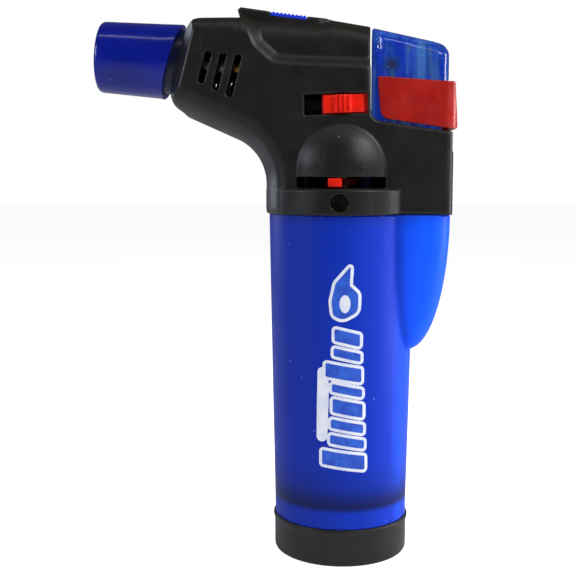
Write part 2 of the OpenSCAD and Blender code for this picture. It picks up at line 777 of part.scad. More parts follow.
module fill_valve_body() {
  color([0.8, 0.65, 0.3]) difference() {
    union() {
      translate([0, 0, fill_mouth_z[0]]) cylinder(r = 3.6, h = 18.4);
      translate([0, 0, 11.8]) cylinder(r = 5.4, h = 1);
    }
    translate([0, 0, 2]) cylinder(r = fill_mouth_r, h = fill_mouth_z[1] - 2);
    translate([0, 0, 5]) cylinder(r = 1.35, h = 5);
    translate([0, 0, 9]) cylinder(r = 2.5, h = 11.4);
    translate([0, 0, 20]) cylinder(r = 0.8, h = 3, $fn = 24);
  }
}

module fill_valve_stem() {
  color("silver") {
    translate([0, 0, 6.5]) cylinder(r = 1.3, h = 9.5);
    translate([0, 0, 9.3]) cylinder(r = 2.2, h = 1);
  }
}

module fill_valve_spring() {
  color("silver") coil(1.9, 0.22, 10.4, 20.2, 8);
}

module fill_valve_seal() {
  color([0.1, 0.1, 0.1]) translate([0, 0, 13.15]) tube(5, 3.65, -0.35, 0.3);
}

housing_near();
housing_far();
housing_screws();
top_plate();
top_plate_inlay();
flame_sleeve();
sleeve_neck();
burner_tube();
flame_holder();
jet_block();
electrode();
electrode_insulator();
gas_hose();
ignition_wire();
piezo_body();
piezo_plunger();
piezo_spring();
thumb_button();
button_latch();
latch_spring();
interlock_pin();
interlock_arm();
gas_lever();
lever_pin();
valve_body();
valve_stem();
valve_spring();
valve_seal();
gas_adjuster();
lock_slide();
lock_spring();
tank();
tank_lid();
tank_lid_seal();
felt_wick();
collar_screws();
tank_floor();
base_cap();
fill_valve_body();
fill_valve_stem();
fill_valve_spring();
fill_valve_seal();
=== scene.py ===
# Gun torch lighter: the visual model, built round the CAD frame.
# Shapes are worked out in mm and turned to metres when a mesh is made.
import math
from itertools import product

import bpy
import numpy as np
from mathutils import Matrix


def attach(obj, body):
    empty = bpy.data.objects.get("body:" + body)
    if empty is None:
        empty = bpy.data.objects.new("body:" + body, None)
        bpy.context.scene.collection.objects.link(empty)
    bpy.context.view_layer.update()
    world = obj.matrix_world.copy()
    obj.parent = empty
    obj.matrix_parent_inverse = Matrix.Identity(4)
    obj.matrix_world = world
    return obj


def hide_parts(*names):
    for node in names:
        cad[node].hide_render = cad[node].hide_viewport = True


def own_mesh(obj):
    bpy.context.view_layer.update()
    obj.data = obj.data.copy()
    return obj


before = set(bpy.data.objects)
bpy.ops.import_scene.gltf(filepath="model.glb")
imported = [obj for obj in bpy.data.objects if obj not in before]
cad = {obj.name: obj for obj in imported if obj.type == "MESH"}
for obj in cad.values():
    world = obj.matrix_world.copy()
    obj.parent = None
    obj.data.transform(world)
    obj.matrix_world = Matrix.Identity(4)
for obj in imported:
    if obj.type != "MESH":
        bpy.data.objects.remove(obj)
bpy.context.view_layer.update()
mm = 0.001
print("frame loaded:", len(cad), "CAD nodes")


# Helpers: colour and material nodes

def linear(code):  # sRGB hex to linear RGBA
    parts = [int(code[i:i + 2], 16) / 255 for i in (0, 2, 4)]
    return [c / 12.92 if c <= 0.04045 else ((c + 0.055) / 1.055) ** 2.4 for c in parts] + [1.0]


def add(tree, kind, links=None, ramp=None, **settings):
    made = tree.nodes.new("ShaderNode" + kind)
    for key, value in settings.items():
        setattr(made, key, value)
    for key, value in (links or {}).items():
        if isinstance(value, bpy.types.NodeSocket):
            tree.links.new(value, made.inputs[key])
        else:
            made.inputs[key].default_value = value
    for i, (spot, value) in enumerate(ramp or []):
        stop = made.color_ramp.elements[i] if i < 2 else made.color_ramp.elements.new(spot)
        stop.position = spot
        stop.color = value if isinstance(value, list) else [value] * 3 + [1]
    return made


def perMetre(size):  # noise scale for a feature of that many mm
    return 1000 / size


# Shared plastic and metal finish: two tones in soft patches, uneven gloss, moulded grain, dust and hairlines
def finish(name, look):
    material = bpy.data.materials.new(name)
    material.use_nodes = True
    tree = material.node_tree
    tree.nodes.clear()
    place = add(tree, "TexCoord").outputs["Object"]
    patch = add(tree, "TexNoise", {"Vector": place, "Scale": perMetre(look["patch"]), "Detail": 3.0,
                                   "Roughness": 0.55})
    tone = add(tree, "ValToRGB", {"Fac": patch.outputs["Fac"]},
               ramp=[(0.36, linear(look["tone"])), (0.66, linear(look["tone2"]))]).outputs["Color"]
    if "streak" in look:  # long soft bands, as light makes inside a drawn or hollow wall
        size, stretch, colour, share = look["streak"]
        bandPlace = add(tree, "Mapping", {"Vector": place, "Scale": stretch}).outputs["Vector"]
        band = add(tree, "TexNoise", {"Vector": bandPlace, "Scale": perMetre(size), "Detail": 2.0}).outputs["Fac"]
        band = add(tree, "MapRange", {"Value": band, "From Min": 0.45, "From Max": 0.68,
                                      "To Max": share}).outputs["Result"]
        tone = add(tree, "MixRGB", {"Fac": band, "Color1": tone, "Color2": linear(colour)}).outputs["Color"]
    dustSize, dustShare = look.get("dust", (0.45, 0.0))
    if dustShare:
        cells = add(tree, "TexVoronoi", {"Vector": place, "Scale": perMetre(3.2), "Randomness": 1.0})
        near = add(tree, "MapRange", {"Value": cells.outputs["Distance"], "From Min": 0.035 * dustSize / 0.45,
                                      "From Max": 0.05 * dustSize / 0.45, "To Min": 1.0,
                                      "To Max": 0.0}).outputs["Result"]
        picked = add(tree, "Math", {0: add(tree, "SeparateColor", {"Color": cells.outputs["Color"]}).outputs["Red"],
                                    1: 1 - dustShare}, operation="GREATER_THAN").outputs["Value"]
        speck = add(tree, "Math", {0: near, 1: picked}, operation="MULTIPLY").outputs["Value"]
        tone = add(tree, "MixRGB", {"Fac": speck, "Color1": tone,
                                    "Color2": linear(look.get("dustTone", "8f9090"))}).outputs["Color"]
    if "worn" in look:  # handling rubs the outer edges a little paler
        edge = add(tree, "NewGeometry").outputs["Pointiness"]
        edge = add(tree, "MapRange", {"Value": edge, "From Min": 0.53, "From Max": 0.6,
                                      "To Max": 0.35}).outputs["Result"]
        tone = add(tree, "MixRGB", {"Fac": edge, "Color1": tone, "Color2": linear(look["worn"])}).outputs["Color"]
    if "topLightTone" in look:  # painted light: what faces up is painted warmer and lighter, as light falls from above
        up = add(tree, "SeparateXYZ", {"Vector": add(tree, "NewGeometry").outputs["Normal"]}).outputs["Z"]
        up = add(tree, "MapRange", {"Value": up, "From Min": 0.15, "From Max": 0.95,
                                    "To Max": 0.75}).outputs["Result"]
        tone = add(tree, "MixRGB", {"Fac": up, "Color1": tone, "Color2": linear(look["topLightTone"])}).outputs["Color"]
    low, high = look["rough"]
    rough = add(tree, "TexNoise", {"Vector": place, "Scale": perMetre(look["patch"] * 0.4),
                                   "Detail": 4.0}).outputs["Fac"]
    rough = add(tree, "MapRange", {"Value": rough, "From Min": 0.3, "From Max": 0.7, "To Min": low,
                                   "To Max": high}).outputs["Result"]
    grainSize, grainDepth = look["grain"]
    grainPlace = add(tree, "Mapping", {"Vector": place, "Scale": look.get("grainStretch",
                                                                          (1, 1, 1))}).outputs["Vector"]
    grain = add(tree, "TexNoise", {"Vector": grainPlace, "Scale": perMetre(grainSize), "Detail": 3.0}).outputs["Fac"]
    normal = add(tree, "Bump", {"Height": grain, "Strength": 1.0, "Distance": grainDepth * mm}).outputs["Normal"]
    if "scratch" in look:  # a few hairline scratches
        line = add(tree, "Mapping", {"Vector": place, "Scale": (1, 0.3, 0.08),
                                     "Rotation": (0, 0.9, 0.3)}).outputs["Vector"]
        hair = add(tree, "TexNoise", {"Vector": line, "Scale": perMetre(look["scratch"]),
                                      "Detail": 1.0}).outputs["Fac"]
        hair = add(tree, "ValToRGB", {"Fac": hair}, ramp=[(0.735, 0.0), (0.75, 1.0)]).outputs["Color"]
        normal = add(tree, "Bump", {"Height": hair, "Strength": 0.6, "Distance": 0.03 * mm,
                                    "Normal": normal}).outputs["Normal"]
    skin = add(tree, "BsdfPrincipled", {"Base Color": tone, "Roughness": rough, "Normal": normal,
                                        "Metallic": look.get("metallic", 0.0),
                                        "Transmission Weight": look.get("clear", 0.0),
                                        "Subsurface Weight": look.get("milky", 0.0), "Subsurface Scale": 3 * mm,
                                        "Coat Weight": look.get("coat", 0.0), "Coat Roughness": look.get("coatRough",
                                                                                                         0.1)})
    if "ior" in look:
        skin.inputs["IOR"].default_value = look["ior"]
    skin.inputs["Specular IOR Level"].default_value = look.get("shine", 0.5)
    if "glow" in look:  # light carried inside the wall
        tree.links.new(tone, skin.inputs["Emission Color"])
        skin.inputs["Emission Strength"].default_value = look["glow"]
    add(tree, "OutputMaterial", {"Surface": skin.outputs["BSDF"]})
    return material


looks = {
    # ABS, moulded in a spark-textured tool: satin black with a fine even grain; real grain 0.1 mm, drawn at 0.3 to
    # show; what faces up gets a painted warm light
    "mouldedBlackAbs": {"tone": "0f0f0e", "tone2": "171716", "patch": 14, "rough": (0.34, 0.48), "grain": (0.3, 0.02),
                        "ior": 1.53,
                        "shine": 0.3, "dust": (0.5, 0.2), "worn": "343432", "topLightTone": "201e17", "scratch": 1.4},
    # baked enamel on a drawn steel sleeve: glossy deep blue with sharp streaks of light
    "bakedBlueEnamel": {"tone": "021278", "tone2": "03188a", "patch": 9, "rough": (0.16, 0.26), "grain": (1.6, 0.012),
                        "ior": 1.5,
                        "shine": 0.22, "coat": 0.25, "coatRough": 0.06, "dust": (0.4, 0.1), "scratch": 1.2},
    # the same enamel in a thinner satin coat where the sleeve fits on, toned darker as painted shade for the recess
    # between sleeve and head
    "shadedNavyEnamel": {"tone": "030d34", "tone2": "05123f", "patch": 7, "rough": (0.3, 0.42), "grain": (0.8, 0.008),
                        "ior": 1.5, "shine": 0.35},
    # clear blue polycarbonate, moulded with ribs: bright, glassy, with the inside showing through
    "clearBluePolycarbonate": {"tone": "2460e0", "tone2": "3878f8", "patch": 6, "rough": (0.05, 0.12),
                               "grain": (1.8, 0.006),
                               "ior": 1.45, "clear": 0.9, "coat": 0.2, "coatRough": 0.05, "glow": 0.05,
                               "dust": (0.35, 0.06), "streak": (2.2, (1, 0.3, 0.08), "86c8ff", 1.0)},
    # moulded deep red ABS: smooth, slightly wavy gloss with wiped smears
    "mouldedRedAbs": {"tone": "9a110d", "tone2": "b6180f", "patch": 8, "rough": (0.24, 0.42), "grain": (2.5, 0.02),
                      "ior": 1.53,
                      "shine": 0.35, "coat": 0.15, "coatRough": 0.18, "dust": (0.4, 0.12), "scratch": 1.1,
                      "milky": 0.05},
    # moulded orange-red ABS of the small controls
    "mouldedOrangeRedAbs": {"tone": "e01802", "tone2": "f82004", "patch": 4, "rough": (0.25, 0.38),
                            "grain": (0.8, 0.01), "ior": 1.53,
                            "shine": 0.3, "coat": 0.12, "coatRough": 0.15, "milky": 0.08},
    # smoked polycarbonate cap, satin from handling: brown-black that lightens where the wall is thin, and painted
    # lighter where it faces up
    "smokedPolycarbonate": {"tone": "0f0d0a", "tone2": "181511", "patch": 10, "rough": (0.32, 0.46),
                            "grain": (0.5, 0.012), "ior": 1.58, "shine": 0.3,
                            "dust": (0.5, 0.16), "topLightTone": "38352c", "scratch": 1.3, "milky": 0.05},
    # blue tinted lid and floor plate inside the tank
    "mouldedBlueNylon": {"tone": "06124a", "tone2": "0a1a62", "patch": 8, "rough": (0.4, 0.5), "grain": (0.6, 0.01),
                         "ior": 1.53},
    # blue plastic insert in the sight plate
    "mouldedBlueInsert": {"tone": "1234d8", "tone2": "1d46f0", "patch": 3, "rough": (0.25, 0.35),
                          "grain": (0.5, 0.006), "ior": 1.53},
    # drawn spring and lever steel: bright with fine lines along the wire
    "drawnSteel": {"tone": "b2b2b4", "tone2": "cacacc", "patch": 3, "rough": (0.2, 0.34), "grain": (0.3, 0.004),
                   "metallic": 1.0, "grainStretch": (1, 1, 6)},
    # black oxide on small screws: dark steel with a dull oily shine
    "blackOxideSteel": {"tone": "1a1a1c", "tone2": "262628", "patch": 2, "rough": (0.32, 0.45), "grain": (0.3, 0.005),
                        "metallic": 1.0},
    # turned brass with faint tool rings
    "turnedBrass": {"tone": "b58a3c", "tone2": "cda14e", "patch": 4, "rough": (0.22, 0.34), "grain": (0.25, 0.004),
                    "metallic": 1.0, "grainStretch": (0.3, 0.3, 5)},
    # glazed alumina round the electrode: hard glossy off-white
    "glazedAlumina": {"tone": "e2dfd5", "tone2": "efece3", "patch": 3, "rough": (0.12, 0.2), "grain": (0.8, 0.004),
                      "ior": 1.65},
    # soft silicone tube: milky and slightly waxy
    "siliconeTube": {"tone": "b9b8ae", "tone2": "cbcabf", "patch": 5, "rough": (0.38, 0.5), "grain": (0.7, 0.008),
                     "ior": 1.42, "milky": 0.2},
    # PVC insulation, extruded: smooth black sheath
    "extrudedPvc": {"tone": "131313", "tone2": "1c1c1c", "patch": 5, "rough": (0.34, 0.44), "grain": (0.5, 0.006),
                    "ior": 1.53},
    # natural nylon plunger: waxy ivory
    "naturalNylon": {"tone": "cfccbd", "tone2": "dedbcd", "patch": 5, "rough": (0.4, 0.52), "grain": (0.5, 0.008),
                     "ior": 1.53, "milky": 0.15},
    # nitrile seals: dull rubber black
    "nitrileRubber": {"tone": "141414", "tone2": "1e1e1e", "patch": 2, "rough": (0.6, 0.75), "grain": (0.2, 0.008),
                      "ior": 1.52},
    # pressed felt wick: matt pale fibres
    "pressedFelt": {"tone": "cfc8b2", "tone2": "e3ddc9", "patch": 1.5, "rough": (0.85, 0.95), "grain": (0.25, 0.08),
                    "grainStretch": (1, 1, 0.3)},
    # pad-printed white ink: thin, matt and slightly uneven
    "printedWhiteInk": {"tone": "dfe6f8", "tone2": "f3f6fd", "patch": 3, "rough": (0.4, 0.55), "grain": (0.3, 0.004),
                        "ior": 1.48},
    # pad-printed blue ink over the white
    "printedBlueInk": {"tone": "1b4ac0", "tone2": "2a66dd", "patch": 2.5, "rough": (0.36, 0.5), "grain": (0.3, 0.004),
                       "ior": 1.48},
}
skins = {name: finish(name, look) for name, look in looks.items()}


# Frosted blue polycarbonate of the tank: satin outside, light spreading inside the wall, brighter where the hollow
# bulge lets light in from behind and darker behind the floor plate and toward the shoulder
def frostedTank(look):
    material = bpy.data.materials.new("frostedBluePolycarbonate")
    material.use_nodes = True
    tree = material.node_tree
    tree.nodes.clear()
    place = add(tree, "TexCoord").outputs["Object"]
    axes = add(tree, "SeparateXYZ", {"Vector": place})
    bands = add(tree, "Mapping", {"Vector": place, "Scale": (1, 1, 0.06)}).outputs["Vector"]
    bands = add(tree, "TexNoise", {"Vector": bands, "Scale": perMetre(look["bandWidth"]),
                                   "Detail": 2.0}).outputs["Fac"]
    across = add(tree, "MapRange", {"Value": axes.outputs["X"], "From Min": -19 * mm,
                                    "From Max": 27 * mm}).outputs["Result"]
    lit = add(tree, "Math", {0: bands, 1: 0.34, 2: across}, operation="MULTIPLY_ADD").outputs["Value"]
    tone = add(tree, "ValToRGB", {"Fac": lit},
               ramp=[(0.12, linear(look["shade"])), (0.9, linear(look["mid"])),
                     (1.08, linear(look["bright"]))]).outputs["Color"]
    height = add(tree, "ValToRGB", {"Fac": add(tree, "MapRange", {"Value": axes.outputs["Z"],
                                                                  "From Max": 100 * mm}).outputs["Result"]},
                 ramp=[(0.05, 0.0), (0.136, 0.0), (0.15, 0.92), (0.17, 0.72), (0.2, 0.3), (0.26, 0.0), (0.84, 0.0),
                       (0.875, 0.35)])
    tone = add(tree, "MixRGB", {"Fac": height.outputs["Color"], "Color1": tone,
                                "Color2": linear(look["floorShade"])}).outputs["Color"]
    cells = add(tree, "TexVoronoi", {"Vector": place, "Scale": perMetre(3.0)})
    near = add(tree, "MapRange", {"Value": cells.outputs["Distance"], "From Min": 0.03, "From Max": 0.045,
                                  "To Min": 1.0, "To Max": 0.0})
    red = add(tree, "SeparateColor", {"Color": cells.outputs["Color"]}).outputs["Red"]
    picked = add(tree, "Math", {0: red, 1: 0.8}, operation="GREATER_THAN").outputs["Value"]
    speck = add(tree, "Math", {0: near.outputs["Result"], 1: picked}, operation="MULTIPLY").outputs["Value"]
    tone = add(tree, "MixRGB", {"Fac": speck, "Color1": tone, "Color2": linear("c0ceff")}).outputs["Color"]
    frost = add(tree, "TexNoise", {"Vector": place, "Scale": perMetre(0.35), "Detail": 2.0}).outputs["Fac"]
    rough = add(tree, "TexNoise", {"Vector": place, "Scale": perMetre(5), "Detail": 3.0}).outputs["Fac"]
    rough = add(tree, "MapRange", {"Value": rough, "To Min": 0.34, "To Max": 0.52}).outputs["Result"]
    normal = add(tree, "Bump", {"Height": frost, "Distance": 0.008 * mm}).outputs["Normal"]
    skin = add(tree, "BsdfPrincipled", {"Base Color": tone, "Roughness": rough, "Normal": normal, "IOR": 1.58,
                                        "Transmission Weight": look["clear"], "Subsurface Weight": look["milky"],
                                        "Subsurface Scale": 4 * mm, "Specular IOR Level": 0.1,
                                        "Emission Color": tone, "Emission Strength": look["glow"]})
    add(tree, "OutputMaterial", {"Surface": skin.outputs["BSDF"]})
    return material


skins["frostedBluePolycarbonate"] = frostedTank({
    "bandWidth": 9, "shade": "02228a", "mid": "0434be", "bright": "0c5cff", "floorShade": "050f3c",
    "clear": 0.12, "milky": 0.12, "glow": 0.2})
print("materials made:", len(skins))


# Helpers: outlines and solid shapes as distance fields

def outlinePoints(corners, arcSteps=8):  # corners are (x, z, radius); radius 0 or none keeps it sharp
    points = []
    count = len(corners)
    for i, corner in enumerate(corners):
        at = np.array(corner[:2], float)
        radius = corner[2] if len(corner) > 2 else 0
        if not radius:
            points.append(at)
            continue
        toBefore = np.array(corners[i - 1][:2], float) - at
        toAfter = np.array(corners[(i + 1) % count][:2], float) - at
        toBefore /= np.linalg.norm(toBefore)
        toAfter /= np.linalg.norm(toAfter)
        half = math.acos(max(-1.0, min(1.0, float(toBefore @ toAfter)))) / 2
        middle = (toBefore + toAfter) / np.linalg.norm(toBefore + toAfter)
        centre = at + middle * radius / math.sin(half)
        start = at + toBefore * radius / math.tan(half) - centre
        stop = at + toAfter * radius / math.tan(half) - centre
        first = math.atan2(start[1], start[0])
        sweep = (math.atan2(stop[1], stop[0]) - first + math.pi) % (2 * math.pi) - math.pi
        for k in range(arcSteps + 1):
            angle = first + sweep * k / arcSteps
            points.append(centre + radius * np.array([math.cos(angle), math.sin(angle)]))
    return np.array(points)


def outlineField(points, a, b):  # signed distance to a closed outline, negative inside
    best = np.inf
    inside = False
    for p, q in zip(points, np.roll(points, -1, axis=0)):
        ex, ez = q - p
        wx, wz = a - p[0], b - p[1]
        t = np.clip((wx * ex + wz * ez) / (ex * ex + ez * ez + 1e-12), 0, 1)
        best = np.minimum(best, (wx - ex * t) ** 2 + (wz - ez * t) ** 2)
        if ez:
            inside = inside ^ (((p[1] <= b) != (q[1] <= b)) & (a < p[0] + ex * (b - p[1]) / ez))
    return np.where(inside, -1, 1) * np.sqrt(best)


def both(a, b, r=0.25):  # what two shapes share, outer edges rounded to r
    return np.minimum(np.maximum(a + r, b + r), 0) + np.hypot(np.maximum(a + r, 0), np.maximum(b + r, 0)) - r


def either(a, b, r=0.25):  # two shapes joined, inner corner filled to r
    return -both(-a, -b, r)


def less(a, b, r=0.25):  # a with b cut out
    return both(a, -b, r)


def slab(a, low, high):
    return np.maximum(low - a, a - high)


def boxField(x, y, z, low, high, r=0.25):
    return both(both(slab(x, low[0], high[0]), slab(y, low[1], high[1]), r), slab(z, low[2], high[2]), r)


def turnedAbout(a, b, at, angle):  # the same spot in a frame turned about one point
    c, s = math.cos(angle), math.sin(angle)
    da, db = a - at[0], b - at[1]
    return da * c + db * s, db * c - da * s


def meshFrom(name, verts, faces, normals=None, sharp=None):
    mesh = bpy.data.meshes.new(name)
    mesh.from_pydata((np.asarray(verts) * mm).tolist(), [], faces if isinstance(faces, list) else faces.tolist())
    mesh.update()
    mesh.polygons.foreach_set("use_smooth", np.ones(len(mesh.polygons), bool))
    if sharp:
        mesh.set_sharp_from_angle(angle=math.radians(sharp))
    if normals is not None:
        mesh.normals_split_custom_set_from_vertices(normals)
    piece = bpy.data.objects.new(name, mesh)
    bpy.context.scene.collection.objects.link(piece)
    return piece


# Nets the zero surface of a field with quads, then settles each point on the surface and takes its normal there
def sculpt(name, field, low, high, step, place=None):
    step = np.array(step if isinstance(step, tuple) else (step,) * 3, float) * 1
    axes = [np.arange(low[i] - 2.37 * step[i], high[i] + 2.6 * step[i], step[i]) for i in range(3)]
    shape = tuple(len(a) for a in axes)
    values = np.array(np.broadcast_to(field(axes[0][:, None, None], axes[1][None, :, None], axes[2][None, None, :]),
                                      shape))
    inside = values < 0
    counts = np.zeros([n - 1 for n in shape], np.uint8)
    for i, j, k in product((0, 1), repeat=3):
        counts += inside[i:shape[0] - 1 + i, j:shape[1] - 1 + j, k:shape[2] - 1 + k]
    active = (counts > 0) & (counts < 8)
    total = int(active.sum())
    index = np.zeros(active.shape, np.int64)
    index[active] = np.arange(total)
    sums, hits, rings = np.zeros((total, 3)), np.zeros(total), []
    for axis in range(3):
        u, v = (axis + 1) % 3, (axis + 2) % 3
        before, after = [slice(None)] * 3, [slice(None)] * 3
        before[axis], after[axis] = slice(0, -1), slice(1, None)
        a, b = values[tuple(before)], values[tuple(after)]
        spots = np.argwhere((a < 0) != (b < 0))
        a, b = a[tuple(spots.T)], b[tuple(spots.T)]
        crossing = spots.astype(float)
        crossing[:, axis] += a / (a - b)
        ring = []
        for du, dv in ((-1, -1), (0, -1), (0, 0), (-1, 0)):
            cell = spots.copy()
            cell[:, u] += du
            cell[:, v] += dv
            ids = index[tuple(cell.T)]
            ring.append(ids)
            hits += np.bincount(ids, minlength=total)
            for k in range(3):
                sums[:, k] += np.bincount(ids, weights=crossing[:, k], minlength=total)
        ring = np.stack(ring, 1)
        ring[a >= 0] = ring[a >= 0][:, ::-1]
        rings.append(ring)
    points = sums / hits[:, None] * step + np.array([a[0] for a in axes])
    h = 0.02

    def slope(at):
        parts = []
        for k in range(3):
            ahead, behind = at.copy(), at.copy()
            ahead[:, k] += h
            behind[:, k] -= h
            parts.append((field(*ahead.T) - field(*behind.T)) / (2 * h))
        return np.stack(parts, 1)

    for _ in range(2):
        grade = slope(points)
        move = grade * (field(*points.T) / np.maximum((grade ** 2).sum(1), 0.1))[:, None]
        far = np.linalg.norm(move, axis=1, keepdims=True)
        points -= move * np.minimum(1, 0.6 * step.min() / np.maximum(far, 1e-9))
    normals = slope(points)
    normals /= np.maximum(np.linalg.norm(normals, axis=1, keepdims=True), 1e-9)
    if place:
        points, normals = place(points, normals)
    faces = np.concatenate(rings)
    if place:  # the wrap mirrors the piece, so its faces are turned over
        faces = faces[:, ::-1]
    piece = meshFrom(name, points, faces, normals)
    print(f"  {name}: {len(piece.data.polygons)} quads")
    return piece


def lathe(name, profile, sides=144, place=None):  # closed profile of (r, z) turned round the axis
    verts, faces = [], []
    count = len(profile)
    for s in range(sides):
        angle = 2 * math.pi * s / sides
        for r, z in profile:
            z = z(r, angle) if callable(z) else z
            spot = (r * math.cos(angle), r * math.sin(angle), z)
            verts.append(place(*spot) if place else spot)
    for s in range(sides):
        t = (s + 1) % sides
        for i in range(count):
            k = (i + 1) % count
            faces.append([s * count + i, t * count + i, t * count + k, s * count + k])
    return meshFrom(name, verts, faces, sharp=32)


def tubeAlong(name, route, radius, sides=12):  # round wire along a list of points, ends closed
    route = np.array(route, float)
    along = np.gradient(route, axis=0)
    along /= np.linalg.norm(along, axis=1, keepdims=True)
    side = np.cross(along[0], [0.31, 0.2, 0.93])
    verts, faces = [], []
    for spot, way in zip(route, along):
        side = side - way * (side @ way)
        side /= np.linalg.norm(side)
        other = np.cross(way, side)
        for k in range(sides):
            angle = 2 * math.pi * k / sides
            verts.append(spot + radius * (side * math.cos(angle) + other * math.sin(angle)))
    for i in range(len(route) - 1):
        for k in range(sides):
            m = (k + 1) % sides
            faces.append([i * sides + k, i * sides + m, (i + 1) * sides + m, (i + 1) * sides + k])
    faces.append(list(range(sides))[::-1])
    faces.append([(len(route) - 1) * sides + k for k in range(sides)])
    return meshFrom(name, verts, faces, sharp=50)


def dress(piece, skin, body, slot, *replaced):
    piece.data.materials.clear()
    piece.data.materials.append(skins[skin])
    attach(piece, body)
    if replaced:
        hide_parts(*replaced)
    return piece


# Head shell, in two halves

head = {
    "sideY": 12.7, "wall": 1.25, "spineY": 10.7, "backX": 27.0, "collarR": 19.15, "collarTop": 93.3,
    "collarLow": 87.1,
    "bendX": -31.35, "bendZ": 94.5, "bendAxisR": 31.35, "bendSweep": math.radians(66), "neckR": 19.15,
    "domeR": 16.6, "domeZ": 98.3, "bevelWidth": 3.5, "partingGap": 0.05, "cell": 0.36,
    "vents": [(-32.15, 125.7, -33.9, 119.6), (-28.55, 125.2, -30.45, 117.9), (-24.9, 124.8, -27.05, 116.25)],
    "ventR": 0.82, "screws": [(-33.2, 112.9), (-2, 127.6), (22.2, 95)],
}
sideShape = outlinePoints([
    (-24.15, 87.1), (-24.15, 97.4), (-40.2, 105.0), (-40.2, 111.9, 1.5), (-42.2, 113.8, 2.5), (-42.1, 120.0, 12),
    (-37.3, 134.8, 5), (-25.4, 134.8, 0.8), (-24.8, 138), (6.9, 138), (7.1, 110, 3), (27, 107, 0.5), (27, 87.1)])
# crown line along the top: where it is, and how round its shoulders are
crownX, crownZ = (-27, -25.2, -24.2, -10, -6, -2.1, 6.9), (134.8, 134.8, 135.3, 134.05, 133.75, 134.3, 132.7)
stepShape = outlinePoints([
    (-25.2, 150), (-24.0, 134.4, 6), (-21.8, 127.6, 4), (-16.6, 122.9, 5), (-9.9, 122.4, 12), (12, 121.5), (12, 150)])
chamberLow = outlinePoints([(-13.2, 80), (-13.2, 102, 4), (-19.5, 111, 2), (-19.5, 121.3, 2), (24.4, 121.3),
                            (24.4, 80)])
chamberHigh = outlinePoints([(-20.5, 118), (-20.5, 127.4, 3), (5.5, 126.6), (5.5, 118)])
nozzleAt = np.array([-45.0, 0.0, 125.26])
nozzleWay = np.array([-math.cos(math.radians(4.5)), 0, math.sin(math.radians(4.5))])
nozzleUp = np.array([math.sin(math.radians(4.5)), 0, math.cos(math.radians(4.5))])


def nozzleParts(x, y, z):  # distance from the nozzle axis, and distance along it
    dx, dz = x - nozzleAt[0], z - nozzleAt[2]
    return np.hypot(dx * nozzleUp[0] + dz * nozzleUp[2], y), dx * nozzleWay[0] + dz * nozzleWay[2]


def smooth(a, low, high):
    t = np.clip((a - low) / (high - low), 0, 1)
    return t * t * (3 - 2 * t)


def headOutside(x, y, z):
    w = np.abs(y)
    side = outlineField(sideShape, x, z)
    depth = -outlineField(stepShape, x, z)
    halfWidth = head["sideY"] - 2.0 * smooth(depth, 0, head["bevelWidth"])
    angle = np.arctan2(z - head["bendZ"], x - head["bendX"])
    outX, outZ = math.cos(head["bendSweep"]), math.sin(head["bendSweep"])
    straight = (x - head["bendX"]) * outX + (z - head["bendZ"]) * outZ
    u = np.where(angle < 0, x - head["bendX"], np.where(angle > head["bendSweep"], straight,
                                                        np.hypot(x - head["bendX"], z - head["bendZ"])))
    u = u - head["bendAxisR"]
    neck = np.hypot(np.minimum(u, 0), y) - head["neckR"]
    shell = both(both(side, w - halfWidth, 0.9), neck, 1.6)
    crown = z - np.interp(x, crownX, crownZ)
    shell = np.maximum(shell, both(crown, w - halfWidth, 4 + 2 * smooth(x, -27, -22)))
    muzzle = -0.801 * (x + 38.6) + 0.559 * (w - 12.7) + 0.2146 * (z - 121)
    shell = both(shell, muzzle, 0.45)
    rear = both(x - head["backX"], w - head["sideY"], 2.0)
    shell = np.maximum(shell, rear)
    round_ = np.hypot(x, y)
    dome = np.hypot(round_, np.maximum(z - head["domeZ"], 0)) - head["domeR"]
    dome = np.maximum(dome, head["collarLow"] - z)
    shell = either(shell, dome, 0.35)
    collar = both(round_ - head["collarR"], slab(z, head["collarLow"], head["collarTop"]), 0.5)
    return either(shell, collar, 0.3)


def headInside(x, y, z):
    w = np.abs(y)
    shellY, spineY = head["sideY"] - head["wall"], head["spineY"] - head["wall"]
    round_ = np.hypot(x, y)
    room = np.maximum(outlineField(chamberLow, x, z), w - shellY)
    room = np.minimum(room, np.maximum(outlineField(chamberHigh, x, z), w - spineY))
    room = np.minimum(room, boxField(x, y, z, (5.4, -spineY, 103), (10, spineY, 126.6), 0.1))
    room = np.minimum(room, boxField(x, y, z, (6.9, -shellY, 103), (24.4, shellY, 150), 0.1))
    room = np.minimum(room, boxField(x, y, z, (24.3, -shellY, 106.9), (40, shellY, 150), 0.1))
    room = np.minimum(room, np.maximum(round_ - 17.2, z - 92.1))
    room = np.minimum(room, np.maximum(np.hypot(round_, np.maximum(z - head["domeZ"], 0)) - 15.4, 82 - z))
    r, along = nozzleParts(x, y, z)
    return np.minimum(room, np.maximum(r - 8.3, -26.5 - along))


plate = {"halfWidth": 7.2, "cell": 0.2, "insertHalf": 6.8, "ribPitch": 0.95}
plateSide = outlinePoints([(-25.7, 136.95, 0.35), (-24.9, 137.6, 0.35), (-17.7, 136.5, 20), (-8.6, 135.2, 30),
                           (-1.95, 134.45, 0.3),
                           (-2.05, 130.75), (-24.85, 132.35), (-24.85, 134.85), (-25.2, 135.4, 0.3)])


def plateField(x, y, z):
    w = np.abs(y)
    body = both(outlineField(plateSide, x, z), w - plate["halfWidth"], 0.8)
    body = np.maximum(body, both(x + 1.95, w - plate["halfWidth"], 5.0))
    well = np.maximum(np.abs(x + 13.15) - 4.6, 135.5 - z - 0.132 * (x + 17.7))
    return less(body, well, 0.15)


def insertField(x, y, z):
    top = 136.42 - 0.134 * (x + 17.7)
    rib = 0.16 * np.cos(2 * math.pi * (x + 17.7) / plate["ribPitch"])
    body = np.maximum(z - top - rib, top - 1.1 - z)
    return both(both(body, np.abs(x + 13.15) - 4.5, 0.2), np.abs(y) - plate["insertHalf"], 0.2)


